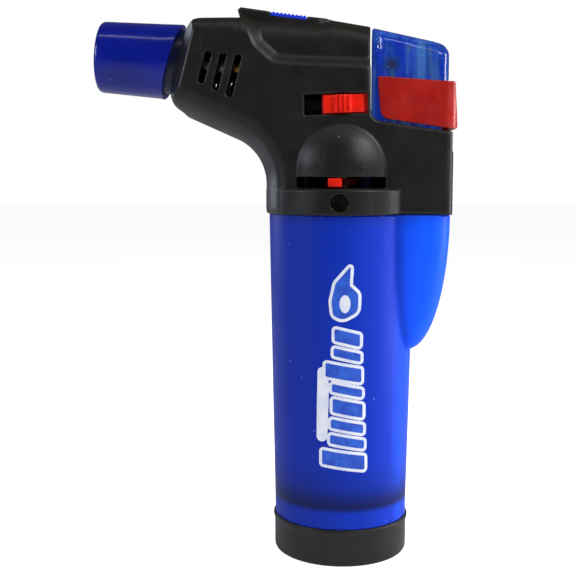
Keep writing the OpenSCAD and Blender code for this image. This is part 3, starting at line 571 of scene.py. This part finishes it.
def headShell(x, y, z):
    w = np.abs(y)
    outside = headOutside(x, y, z)
    shell = less(outside, headInside(x, y, z), 0.3)
    shell = less(shell, plateField(x, y, z) - 0.1, 0.15)
    for sx, sz in head["screws"]:
        boss = np.maximum(np.hypot(x - sx, z - sz) - 2.7, outside + 0.4)
        shell = np.minimum(shell, boss)
    for x0, z0, x1, z1 in head["vents"]:
        t = np.clip(((x - x0) * (x1 - x0) + (z - z0) * (z1 - z0)) / ((x1 - x0) ** 2 + (z1 - z0) ** 2), 0, 1)
        gap = np.hypot(x - x0 - (x1 - x0) * t, z - z0 - (z1 - z0) * t) - head["ventR"]
        shell = less(shell, gap, 0.22)
    relief = boxField(x, y, z, (25.2, -11.45, 102.4), (40, 11.45, 111), 0.1)
    relief = np.minimum(relief, boxField(x, w, z, (23.4, 7.3, 102.4), (40, 11.45, 111), 0.1))
    shell = less(shell, relief, 0.2)
    hole = np.hypot(x + 0.2, z - 90.1)
    shell = less(shell, np.maximum(hole - 2.1, 17.9 - w), 0.2)
    return less(shell, np.maximum(hole - 1.3, 15 - w), 0.15)


lockSlot = {"at": (-1.3, 113.7), "tilt": math.radians(1.7)}


def nearShell(x, y, z):
    shell = both(headShell(x, y, z), y + head["partingGap"], 0.12)
    for sx, sz in head["screws"]:
        shell = less(shell, np.maximum(np.hypot(x - sx, z - sz) - 1.2, -7 - y), 0.1)
    shell = less(shell, boxField(x, y, z, (-10.65, -30, 93.6), (10.65, -11, 96.2), 0.3), 0.25)
    lx, lz = turnedAbout(x, z, lockSlot["at"], lockSlot["tilt"])
    rim = boxField(lx, y, lz, (-8.0, -30, -2.9), (8.1, -12.45, 2.9), 0.6)
    shell = less(shell, rim, 0.2)
    return less(shell, boxField(lx, y, lz, (-7.6, -30, -2.4), (7.6, -11, 2.4), 0.3), 0.2)


def marksField(x, y, z):  # small raised minus and plus over the gas slot
    front = np.hypot(np.hypot(x, y), np.maximum(z - head["domeZ"], 0)) - head["domeR"]
    long, thin = 0.85, 0.24
    fromMinus, fromPlus, height = np.abs(x + 6.8), np.abs(x - 5.2), np.abs(z - 98.6)
    minus = np.maximum(fromMinus - long, height - thin)
    plus = np.minimum(np.maximum(fromPlus - long, height - thin), np.maximum(fromPlus - thin, height - long))
    return both(np.minimum(minus, plus), slab(front, -0.3, 0.28), 0.07)


def farShell(x, y, z):
    shell = both(headShell(x, y, z), head["partingGap"] - y, 0.12)
    for sx, sz in head["screws"]:
        hole = np.hypot(x - sx, z - sz)
        shell = less(shell, hole - 1.2, 0.1)
        shell = less(shell, np.maximum(hole - 2.25, 10 - y), 0.25)
    return shell


print("head shell")
near = sculpt("housing_near_shell", nearShell, (-44.5, -19.2, 87), (27.1, 0, 136.2), head["cell"])
dress(near, "mouldedBlackAbs", "handle", "black_shell", "housing_near")
dress(sculpt("gas_marks_raised", marksField, (-7.7, -17.1, 97.6), (6.1, -14, 99.6), 0.08), "mouldedBlackAbs",
      "handle", "black_shell")
far = sculpt("housing_far_shell", farShell, (-44.5, 0, 87), (27.1, 19.2, 136.2), head["cell"])
dress(far, "mouldedBlackAbs", "handle", "black_shell", "housing_far")


# Sight plate on top of the spine, and its blue insert

print("sight plate")
plateMesh = sculpt("top_plate_rounded", plateField, (-26.5, -7.3, 130.5), (-1.5, 7.3, 137.8), plate["cell"])
dress(plateMesh, "mouldedBlackAbs", "handle", "black_shell", "top_plate")
insertMesh = sculpt("top_plate_ribbed_insert", insertField, (-17.8, -6.9, 133.4), (-8.5, 6.9, 137), 0.16)
dress(insertMesh, "mouldedBlueInsert", "handle", "blue_print", "top_plate_inlay")


# Thumb button, clear with ribs inside, and the safety latch round its foot

button = {"halfWidth": 10.3, "inner": 9.1, "cell": 0.3, "ribs": (11.0, 15.6, 20.5), "ribWidth": 1.1, "lugX": 18.0,
          "lugZ": 114.0, "pinX": 12.0, "pinZ": 123.3, "springZ": 116.0, "backX": 25.9}
buttonSide = outlinePoints([(7.25, 107.5), (7.25, 132.35, 0.6), (22.2, 128.95, 8), (25.9, 127.8, 3.2), (25.9, 119.7),
                            (25.3, 119.7), (25.3, 113.3), (24, 113.3), (24, 106), (9, 106)])
buttonHollow = outlinePoints([(8.6, 90), (8.6, 130.6, 1), (22, 127.5, 6), (24.5, 125.4, 2), (24.5, 120.5), (24, 119),
                              (24, 114.6), (22.7, 114.6), (22.7, 90)])


def buttonField(x, y, z):
    w = np.abs(y)
    edge = 0.6 + 3.9 * smooth(z, 121, 128)
    body = both(outlineField(buttonSide, x, z), w - button["halfWidth"], edge)
    body = np.maximum(body, both(x - button["backX"], w - button["halfWidth"], 3.4))
    body = less(body, np.maximum(outlineField(buttonHollow, x, z), w - button["inner"]), 0.3)
    for ribX in button["ribs"]:
        rib = boxField(x, y, z, (ribX, -9.4, 121), (ribX + button["ribWidth"], 9.4, 127.4), 0.2)
        body = np.minimum(body, rib)
    column = boxField(x, y, z, (12.9, -2.6, 119.6), (18.1, 2.6, 128.5), 0.3)
    foot = boxField(x, y, z, (8.5, -2, 106.1), (10, 2, 128), 0.2)
    body = np.minimum(np.minimum(body, column), foot)
    pin = np.hypot(x - button["pinX"], z - button["pinZ"])
    boss = np.maximum(pin - 2.2, slab(w, 5.2, 9.3))
    body = np.minimum(body, boss)
    body = less(body, np.maximum(slab(x, 4, 8.61), z - 107.5), 0.1)
    t = np.clip(x, 16.4, 18.4)
    slotGap = np.maximum(np.hypot(x - t, z - button["lugZ"]) - 1.5, 8 - w)
    body = less(body, slotGap, 0.15)
    body = less(body, pin - 1.05, 0.1)
    body = less(body, boxField(x, w, z, (8, 5.9, 109.3), (16.8, 8.8, 126.3), 0.1), 0.1)
    seat = np.hypot(y, z - button["springZ"])
    body = np.minimum(body, np.maximum(seat - 2.8, slab(x, 22.4, 24.4)))
    return less(body, np.maximum(seat - 2, slab(x, 23.2, 27)), 0.1)


latch = {"halfWidth": 11.2, "band": 0.7, "backX": 28.15, "innerX": 26.75, "cell": 0.24}
latchSide = outlinePoints([(8.6, 120.4, 0.5), (9.5, 110.4, 2.4), (25.6, 107.9), (28.15, 107.9, 0.5),
                           (27.35, 119.1, 0.5), (24.2, 119.2)])


def latchField(x, y, z):
    w = np.abs(y)
    outer = both(x - latch["backX"], w - latch["halfWidth"], 3.2)
    inner = both(x - latch["innerX"], w - latch["halfWidth"] + latch["band"], 2.2)
    strap = less(outer, inner, 0.15)
    strap = both(strap, outlineField(latchSide, x, z), 0.28)
    lug = both(np.hypot(x - button["lugX"], z - button["lugZ"]) - 1.2, slab(w, 10.3, 10.8), 0.1)
    post = both(np.hypot(y, z - button["springZ"]) - 1.2, slab(x, 25.7, 27.1), 0.1)
    return np.minimum(np.minimum(strap, lug), post)


print("thumb button and safety latch")
buttonMesh = sculpt("thumb_button_clear", buttonField, (7.2, -10.4, 105.9), (26.0, 10.4, 132.4), button["cell"])
dress(buttonMesh, "clearBluePolycarbonate", "button", "button_blue", "thumb_button")
latchMesh = sculpt("safety_latch_moulded", latchField, (8.5, -11.3, 107.8), (28.2, 11.3, 120.5), latch["cell"])
dress(latchMesh, "mouldedRedAbs", "latch", "latch_red", "button_latch")


# Flame lock slide and gas adjuster

lock = {"at": (0.35, 113.75), "ribPitch": 1.1, "cell": 0.14}


def lockField(x, y, z):
    lx, lz = turnedAbout(x, z, lock["at"], lockSlot["tilt"])
    slide = boxField(lx, y, lz, (-4.6, -12.5, -2.15), (5.05, -11, 2.15), 0.25)
    slide = np.minimum(slide, boxField(lx, y, lz, (-5.0, -11.2, -3.4), (6.1, -10.3, 3.4), 0.15))
    slide = either(slide, boxField(lx, y, lz, (-1.95, -13.1, -2.15), (1.95, -12.3, 2.15), 0.15), 0.15)
    for i in range(4):
        ribX = -1.95 + lock["ribPitch"] * i
        slide = either(slide, boxField(lx, y, lz, (ribX, -13.6, -2.1), (ribX + 0.6, -12.8, 2.1), 0.18), 0.12)
    return slide


adjuster = {"low": 93.85, "high": 95.95, "tabAngle": math.radians(-4.8), "tabHalf": 1.6, "cell": 0.2}


def adjusterField(x, y, z):
    low, high = adjuster["low"], adjuster["high"]
    ax, ay = turnedAbout(x, y, (0, 0), adjuster["tabAngle"])
    ring = both(np.hypot(x, y) - 4.6, slab(z, low + 0.2, low + 1.9), 0.2)
    arm = boxField(ax, ay, z, (-0.9, -15, low + 0.2), (0.9, -3.6, low + 1.9), 0.2)
    tab = both(boxField(ax, ay, z, (-adjuster["tabHalf"], -18, low), (adjuster["tabHalf"], -13.6, high), 0.25),
               np.hypot(x, y) - 17.0, 0.25)
    whole = np.minimum(np.minimum(ring, arm), tab)
    return less(whole, np.hypot(x, y) - 3.25, 0.1)


print("lock slide and gas lever")
lockMesh = sculpt("lock_slide_ribbed", lockField, (-6.1, -13.7, 109.9), (6.8, -10.2, 117.1), lock["cell"])
dress(lockMesh, "mouldedOrangeRedAbs", "lock", "bright_red", "lock_slide")
adjusterMesh = sculpt("gas_adjuster_lever", adjusterField, (-4.7, -17.1, 93.8), (4.7, 4.7, 96), adjuster["cell"])
dress(adjusterMesh, "mouldedOrangeRedAbs", "adjuster", "bright_red", "gas_adjuster")


# Tank with its bulge, and the print on its side

tank = {"cell": 0.45, "bulgeFoot": 53.0, "bulgeTop": 87.1, "join": 0.5}
tankProfile = np.array([(-5, 2.3), (15.6, 2.3), (15.6, 9.5), (16.9, 9.5), (17.5, 38), (18.4, 86), (18.4, 87.1),
                        (17, 87.1), (17, 91.6), (-5, 91.6)], float)
tankHollow = np.array([(-5, 2), (14.2, 2), (14.2, 13.4), (15.3, 13.4), (16.1, 80.6), (14.8, 82), (14.8, 83.4),
                       (16, 83.4), (16, 92), (-5, 92)], float)


def bulgeField(x, y, z, inset):
    t = np.clip((z - tank["bulgeFoot"]) / (tank["bulgeTop"] - tank["bulgeFoot"]), 0.003, 1)
    k = np.sqrt(1 - (1 - t) ** 2)
    back, half = 17.2 + 9.5 * k - inset, 6.6 + 6.0 * k - inset
    corner = np.minimum(5.0, half * 0.6)
    ax, ay = x - (back - corner), np.abs(y) - (half - corner)
    tongue = np.hypot(np.maximum(ax, 0), np.maximum(ay, 0)) + np.minimum(np.maximum(ax, ay), 0) - corner
    return np.maximum(np.maximum(tongue, 4 - x), np.maximum(tank["bulgeFoot"] + inset - z, z - tank["bulgeTop"]))


def tankField(x, y, z):
    r = np.hypot(x, y)
    body = outlineField(tankProfile, r, z)
    body = either(body, both(bulgeField(x, y, z, 0), z - tank["bulgeTop"], 0.3), tank["join"])
    body = less(body, outlineField(tankHollow, r, z), 0.25)
    return less(body, np.maximum(bulgeField(x, y, z, 1.6), np.maximum(z - 82, 20 - z)), 0.3)


print("tank")
tankMesh = sculpt("tank_frosted", tankField, (-18.5, -18.5, 2), (26.8, 18.5, 91.7), tank["cell"])
dress(tankMesh, "frostedBluePolycarbonate", "handle", "tank_blue", "tank")

# A plain pattern of our own: a flame over a stack of slanted bars with a stripe beside them, no letters
printed = {"border": 0.75, "cell": (0.16, 0.05, 0.16), "inkDepth": 0.04, "barLift": 1.3}
flameShape = outlinePoints([(0.6, 62.0, 2.5), (4.4, 64.0, 2.2), (4.6, 68.4, 1.6), (2.4, 70.4, 0.5), (2.7, 75.2, 0.2),
                            (-1.0, 71.0, 1.6), (-2.0, 66.6, 2.0), (-1.6, 63.2, 1.4)])
bars = []
for barLow, barTall, barLeft, barRight in ((25.0, 3.6, -4.2, 6.4), (30.3, 2.2, -2.2, 6.2), (34.2, 2.2, -2.0, 6.0),
                                           (38.1, 3.4, -1.6, 5.8),
                                           (43.2, 2.0, -1.8, 5.6), (46.9, 3.4, -3.4, 5.4), (52.0, 2.0, -1.4, 5.2),
                                           (55.7, 3.0, -1.2, 5.0)):
    lift = printed["barLift"]
    bars.append(outlinePoints([(barLeft, barLow + lift, 0.4), (barRight, barLow - 0.2, 0.4),
                               (barRight, barLow + barTall - 0.2, 0.4), (barLeft, barLow + barTall + lift, 0.4)], 4))
stripe = outlinePoints([(-4.9, 33.0, 0.7), (-3.6, 32.0, 0.7), (-3.2, 46.0, 3), (-4.6, 55.5, 0.5)], 4)


def tankRadius(z):
    return np.interp(z, [9.5, 38, 86], [16.9, 17.5, 18.4])


def wrapOnTank(points, normals):
    s, t, z = points.T
    radius = tankRadius(z)
    angle = -math.pi / 2 + s / radius
    ca, sa = np.cos(angle), np.sin(angle)
    placed = np.stack([(radius + t) * ca, (radius + t) * sa, z], 1)
    turned = np.stack([-sa * normals[:, 0] + ca * normals[:, 1], ca * normals[:, 0] + sa * normals[:, 1],
                       normals[:, 2]], 1)
    return placed, turned


def whitePrint(s, t, z):
    shape = outlineField(flameShape, s, z) - printed["border"]
    for bar in bars + [stripe]:
        shape = np.minimum(shape, outlineField(bar, s, z) - printed["border"])
    return both(shape, slab(t, -0.12, printed["inkDepth"]), 0.02)


def bluePrint(s, t, z):
    shape = less(outlineField(flameShape, s, z), np.hypot(s - 1.3, (z - 66.0) * 0.6) - 1.3, 0.1)
    for bar in bars:
        shape = np.minimum(shape, outlineField(bar, s, z))
    return both(shape, slab(t, -0.06, 2 * printed["inkDepth"]), 0.02)


print("printed pattern")
whiteMesh = sculpt("tank_print_white", whitePrint, (-6.4, -0.14, 22.5), (7.6, 0.1, 76.5), printed["cell"], wrapOnTank)
dress(whiteMesh, "printedWhiteInk", "handle", "ceramic")
blueMesh = sculpt("tank_print_blue", bluePrint, (-6.4, -0.1, 22.5), (7.6, 0.14, 76.5), printed["cell"], wrapOnTank)
dress(blueMesh, "printedBlueInk", "handle", "blue_print")


# Turned and lathed pieces: sleeve, its neck, the base cap

sleeve = {"reach": 16.3, "tipR": 8.85, "backR": 9.45, "boreR": 7.6, "counterR": 8.08, "slant": math.radians(16.7)}
slantWay = np.array([math.cos(sleeve["slant"]), 0, -math.sin(sleeve["slant"])])
slantAt = np.array([-42.55, 0, 125.15])


def onNozzle(a, b, c):  # a points up, b sideways, c out of the mouth
    return nozzleAt + nozzleUp * a + np.array([0, 1.0, 0]) * b + nozzleWay * c


def slantedEnd(r, angle):  # how far back along the axis the sleeve runs at that angle
    return -(slantWay @ (nozzleAt - slantAt) + r * math.cos(angle) * (slantWay @ nozzleUp)) / (slantWay @ nozzleWay)


def slantedInset(amount):
    return lambda r, angle: slantedEnd(r, angle) + amount


print("sleeve, neck and base cap")
tip, reach = sleeve["tipR"], sleeve["reach"]
sleeveMesh = lathe("flame_sleeve_enamelled", [
    (sleeve["counterR"], slantedInset(0.15)), (sleeve["counterR"] + 0.15, slantedInset(0)), (sleeve["backR"] - 0.2,
                                                                                             slantedInset(0)),
    (sleeve["backR"] - 0.05, slantedInset(0.06)), (sleeve["backR"], slantedInset(0.22)), (9.3, 0), (9.12, 6),
    (tip + 0.05, reach - 2.2), (tip, reach - 0.9),
    (tip - 0.12, reach - 0.45), (tip - 0.38, reach - 0.12), (tip - 0.72, reach), (sleeve["boreR"] + 0.12, reach),
    (sleeve["boreR"], reach - 0.15), (sleeve["boreR"], 8), (sleeve["boreR"], 2.05), (sleeve["counterR"], 2.0)],
    place=onNozzle)
dress(sleeveMesh, "bakedBlueEnamel", "handle", "sleeve_blue", "flame_sleeve")
neckMesh = lathe("sleeve_neck_turned", [(8.0, -10.9), (8.0, 1.7), (7.85, 1.9), (6.75, 1.9), (6.6, 1.75), (6.6, -10.9),
                                        (6.7, -11), (7.9, -11)],
                 place=onNozzle)
# the neck takes the darker enamel: painted shade for its recess between sleeve and head
dress(neckMesh, "shadedNavyEnamel", "handle", "neck_navy", "sleeve_neck")
capCurve = [(16.0 + 1.05 * math.sin(a), 1.1 - 1.1 * math.cos(a)) for a in np.linspace(0, math.pi / 2, 8)]
capMesh = lathe("base_cap_moulded", [(5.5, 0.25), (5.75, 0.0), (8.4, 0.0), (8.6, 0.35), (9.2, 0.35), (9.4, 0.0),
                                     (13.6, 0.0), (13.8, 0.3), (14.2, 0.3),
                                    (14.4, 0.0)] + capCurve +
                [(17.1, 7.6), (17.14, 8.0), (17.38, 8.6), (17.4, 9.2), (17.3, 9.42), (17.1, 9.45), (15.85, 9.45),
                 (15.7, 9.3), (15.7, 2.4), (15.5, 2.2), (5.7, 2.2), (5.5, 2.05)])
dress(capMesh, "smokedPolycarbonate", "handle", "cap_smoke", "base_cap")


# Coil springs as wound wire

def coilRoute(radius, low, high, turns, axis, centre, perTurn=22):
    spots = []
    count = int(turns * perTurn)
    for i in range(count + 1):
        t = i / count
        rise = smooth(np.array(t), 0, 1) * 0.25 + t * 0.75  # closer turns at both ends
        angle = 2 * math.pi * turns * t
        a, b, c = radius * math.cos(angle), radius * math.sin(angle), low + (high - low) * float(rise)
        spot = (a, b, c) if axis == "z" else (c, a, b)
        spots.append((spot[0] + centre[0], spot[1] + centre[1], spot[2] + centre[2]))
    return spots


springs = {  # in mm: "hold" is the end that stays, "keep" is the share of the length left at full travel
    "piezo_spring_wound": {"node": "piezo_spring", "body": "handle", "joint": "button_press", "axis": "z",
                           "radius": 2.0,
                           "wire": 0.3, "span": (92.5, 109.5), "turns": 12, "centre": (15.5, 0, 0), "hold": 92.2,
                           "keep": 0.72},
    "latch_spring_wound": {"node": "latch_spring", "body": "button", "joint": "latch_push", "axis": "x",
                           "radius": 1.5,
                           "wire": 0.2, "span": (23.4, 26.3), "turns": 5, "centre": (0, 0, 116), "hold": 23.2,
                           "keep": 0.7},
    "valve_spring_wound": {"node": "valve_spring", "body": "handle", "joint": "stem_lift", "axis": "z", "radius": 1.8,
                           "wire": 0.2, "span": (88.7, 93.7), "turns": 6, "centre": (0, 0, 0), "hold": 93.9,
                           "keep": 0.78},
    "fill_valve_spring_wound": {"node": "fill_valve_spring", "body": "handle", "joint": "fill_valve_push",
                                "axis": "z",
                                "radius": 1.9, "wire": 0.22, "span": (10.6, 20.0), "turns": 8, "centre": (0, 0, 0),
                                "hold": 20.2, "keep": 0.85},
}
print("springs")
for name, made in springs.items():
    route = coilRoute(made["radius"], *made["span"], made["turns"], made["axis"], made["centre"])
    spring = tubeAlong(name, route, made["wire"], 8)
    dress(spring, "drawnSteel", made["body"], "steel", made["node"])
    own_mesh(spring)


# Hose and wire with round sections

def curved(points, per=8):  # Catmull-Rom through the route
    first, last = 2 * np.array(points[0]) - points[1], 2 * np.array(points[-1]) - points[-2]
    p = np.array([first] + [np.array(q, float) for q in points] + [last])
    out = []
    for i in range(1, len(p) - 2):
        for k in range(per):
            t = k / per
            square = (2 * p[i - 1] - 5 * p[i] + 4 * p[i + 1] - p[i + 2]) * t * t
            cube = (3 * p[i] - p[i - 1] - 3 * p[i + 1] + p[i + 2]) * t ** 3
            out.append(0.5 * (2 * p[i] + (p[i + 1] - p[i - 1]) * t + square + cube))
    return out + [p[-2]]


hoseRoute = [(-20.4, 0, 123.36), (-17, 0, 122.6), (-14.6, 0, 119), (-13, 0, 113), (-11.6, 0, 106), (-9.8, 0, 100),
             (-8.6, 0, 98), (-6.5, 0, 97.4)]
wireRoute = [(13.2, 4.6, 98), (10.5, 6.6, 98.2), (6, 7.6, 99.5), (0, 7.8, 104), (-6, 7.4, 110), (-12, 6.6, 116),
             (-17, 5.4, 121), (-21, 4.4, 125.2), (-24.6, 4, 127.6)]
dress(tubeAlong("gas_hose_round", curved(hoseRoute), 0.93, 16), "siliconeTube", "handle", "hose_pale", "gas_hose")
dress(tubeAlong("ignition_wire_round", curved(wireRoute), 0.58, 12), "extrudedPvc", "handle", "wire_black",
      "ignition_wire")

# CAD nodes that keep their shape, with a finish each

carried = {
    "drawnSteel": ["burner_tube", "electrode", "gas_lever", "lever_pin", "valve_stem", "fill_valve_stem",
                   "housing_screws"],
    "blackOxideSteel": ["collar_screws", "lock_spring"],
    "turnedBrass": ["flame_holder", "jet_block", "valve_body", "fill_valve_body"],
    "glazedAlumina": ["electrode_insulator"], "mouldedBlackAbs": ["piezo_body", "interlock_arm"],
    "naturalNylon": ["piezo_plunger"], "nitrileRubber": ["valve_seal", "tank_lid_seal", "fill_valve_seal"],
    "pressedFelt": ["felt_wick"], "mouldedBlueNylon": ["tank_lid", "tank_floor", "interlock_pin"],
}
for skin, names in carried.items():
    for name in names:
        cad[name].data.materials.clear()
        cad[name].data.materials.append(skins[skin])
print("CAD nodes finished")


# Floor, light and camera

studio = {"floor": 3.0, "floorGlow": 0.85, "worldCamera": 1.0, "worldLight": 0.11}
verts = [(a * studio["floor"], b * studio["floor"], 0) for a, b in ((-1, -1), (1, -1), (1, 1), (-1, 1))]
floor = meshFrom("studio_floor", np.array(verts) / mm, [[0, 1, 2, 3]])
# pale painted board: matt, nearly white, with a faint roller mottle
board = finish("rolledPaleEmulsion", {"tone": "f4f4f4", "tone2": "fafafa", "patch": 60, "rough": (0.8, 0.9),
                                      "grain": (2, 0.02)})
tree = board.node_tree
skin = next(n for n in tree.nodes if n.type == "BSDF_PRINCIPLED")
seen = add(tree, "LightPath").outputs["Is Camera Ray"]
tree.links.new(add(tree, "MapRange", {"Value": seen, "To Max": studio["floorGlow"]}).outputs["Result"],
               skin.inputs["Emission Strength"])
skin.inputs["Emission Color"].default_value = [1, 1, 1, 1]
floor.data.materials.append(board)

world = bpy.data.worlds.new("softStudio")
bpy.context.scene.world = world
world.use_nodes = True
tree = world.node_tree
tree.nodes.clear()
seen = add(tree, "LightPath").outputs["Is Camera Ray"]
strength = add(tree, "MapRange", {"Value": seen, "To Min": studio["worldLight"],
                                  "To Max": studio["worldCamera"]}).outputs["Result"]
back = add(tree, "Background", {"Color": [1, 1, 1, 1], "Strength": strength})
add(tree, "OutputWorld", {"Surface": back.outputs["Background"]})


def softbox(name, at, aim, size, power, tone="ffffff"):
    light = bpy.data.lights.new(name, "AREA")
    light.shape = "RECTANGLE"
    light.size, light.size_y = size
    light.energy = power
    light.color = linear(tone)[:3]
    lamp = bpy.data.objects.new(name, light)
    bpy.context.scene.collection.objects.link(lamp)
    lamp.location = at
    way = np.array(aim) - np.array(at)
    way = way / np.linalg.norm(way)
    lamp.rotation_euler = (math.acos(-way[2]), 0, math.atan2(way[1], way[0]) - math.pi / 2)
    return lamp


softbox("keyRightHigh", (0.34, -0.32, 0.4), (0, 0, 0.09), (0.2, 0.3), 1.9)
softbox("fillLeft", (-0.42, -0.3, 0.14), (0, 0, 0.08), (0.16, 0.4), 0.28, "eef2ff")
softbox("muzzleFill", (-0.24, -0.12, 0.19), (-0.04, 0, 0.12), (0.05, 0.1), 0.2, "eef2ff")
softbox("topStrip", (-0.02, -0.16, 0.5), (0, 0, 0.1), (0.6, 0.03), 0.3)
softbox("rimRight", (0.42, 0.02, 0.14), (0, 0, 0.09), (0.12, 0.4), 1.5)
softbox("rimLeft", (-0.38, 0.22, 0.2), (0, 0, 0.11), (0.14, 0.3), 0.6, "e6eeff")

view = {"lens": 64.3, "sensor": 36, "at": (5.66, -262.9, 97.1), "tiltDown": 6.35, "turn": 4.22}  # mm and degrees
camera = bpy.data.cameras.new("camera")
camera.lens = view["lens"]
camera.sensor_width = view["sensor"]
cameraObject = bpy.data.objects.new("camera", camera)
bpy.context.scene.collection.objects.link(cameraObject)
cameraObject.location = [c * mm for c in view["at"]]
cameraObject.rotation_euler = (math.radians(90 - view["tiltDown"]), 0, math.radians(view["turn"]))
camera.clip_start = 0.01
bpy.context.scene.camera = cameraObject
bpy.context.scene.view_settings.view_transform = "Standard"
print("studio ready")

bpy.context.view_layer.update()
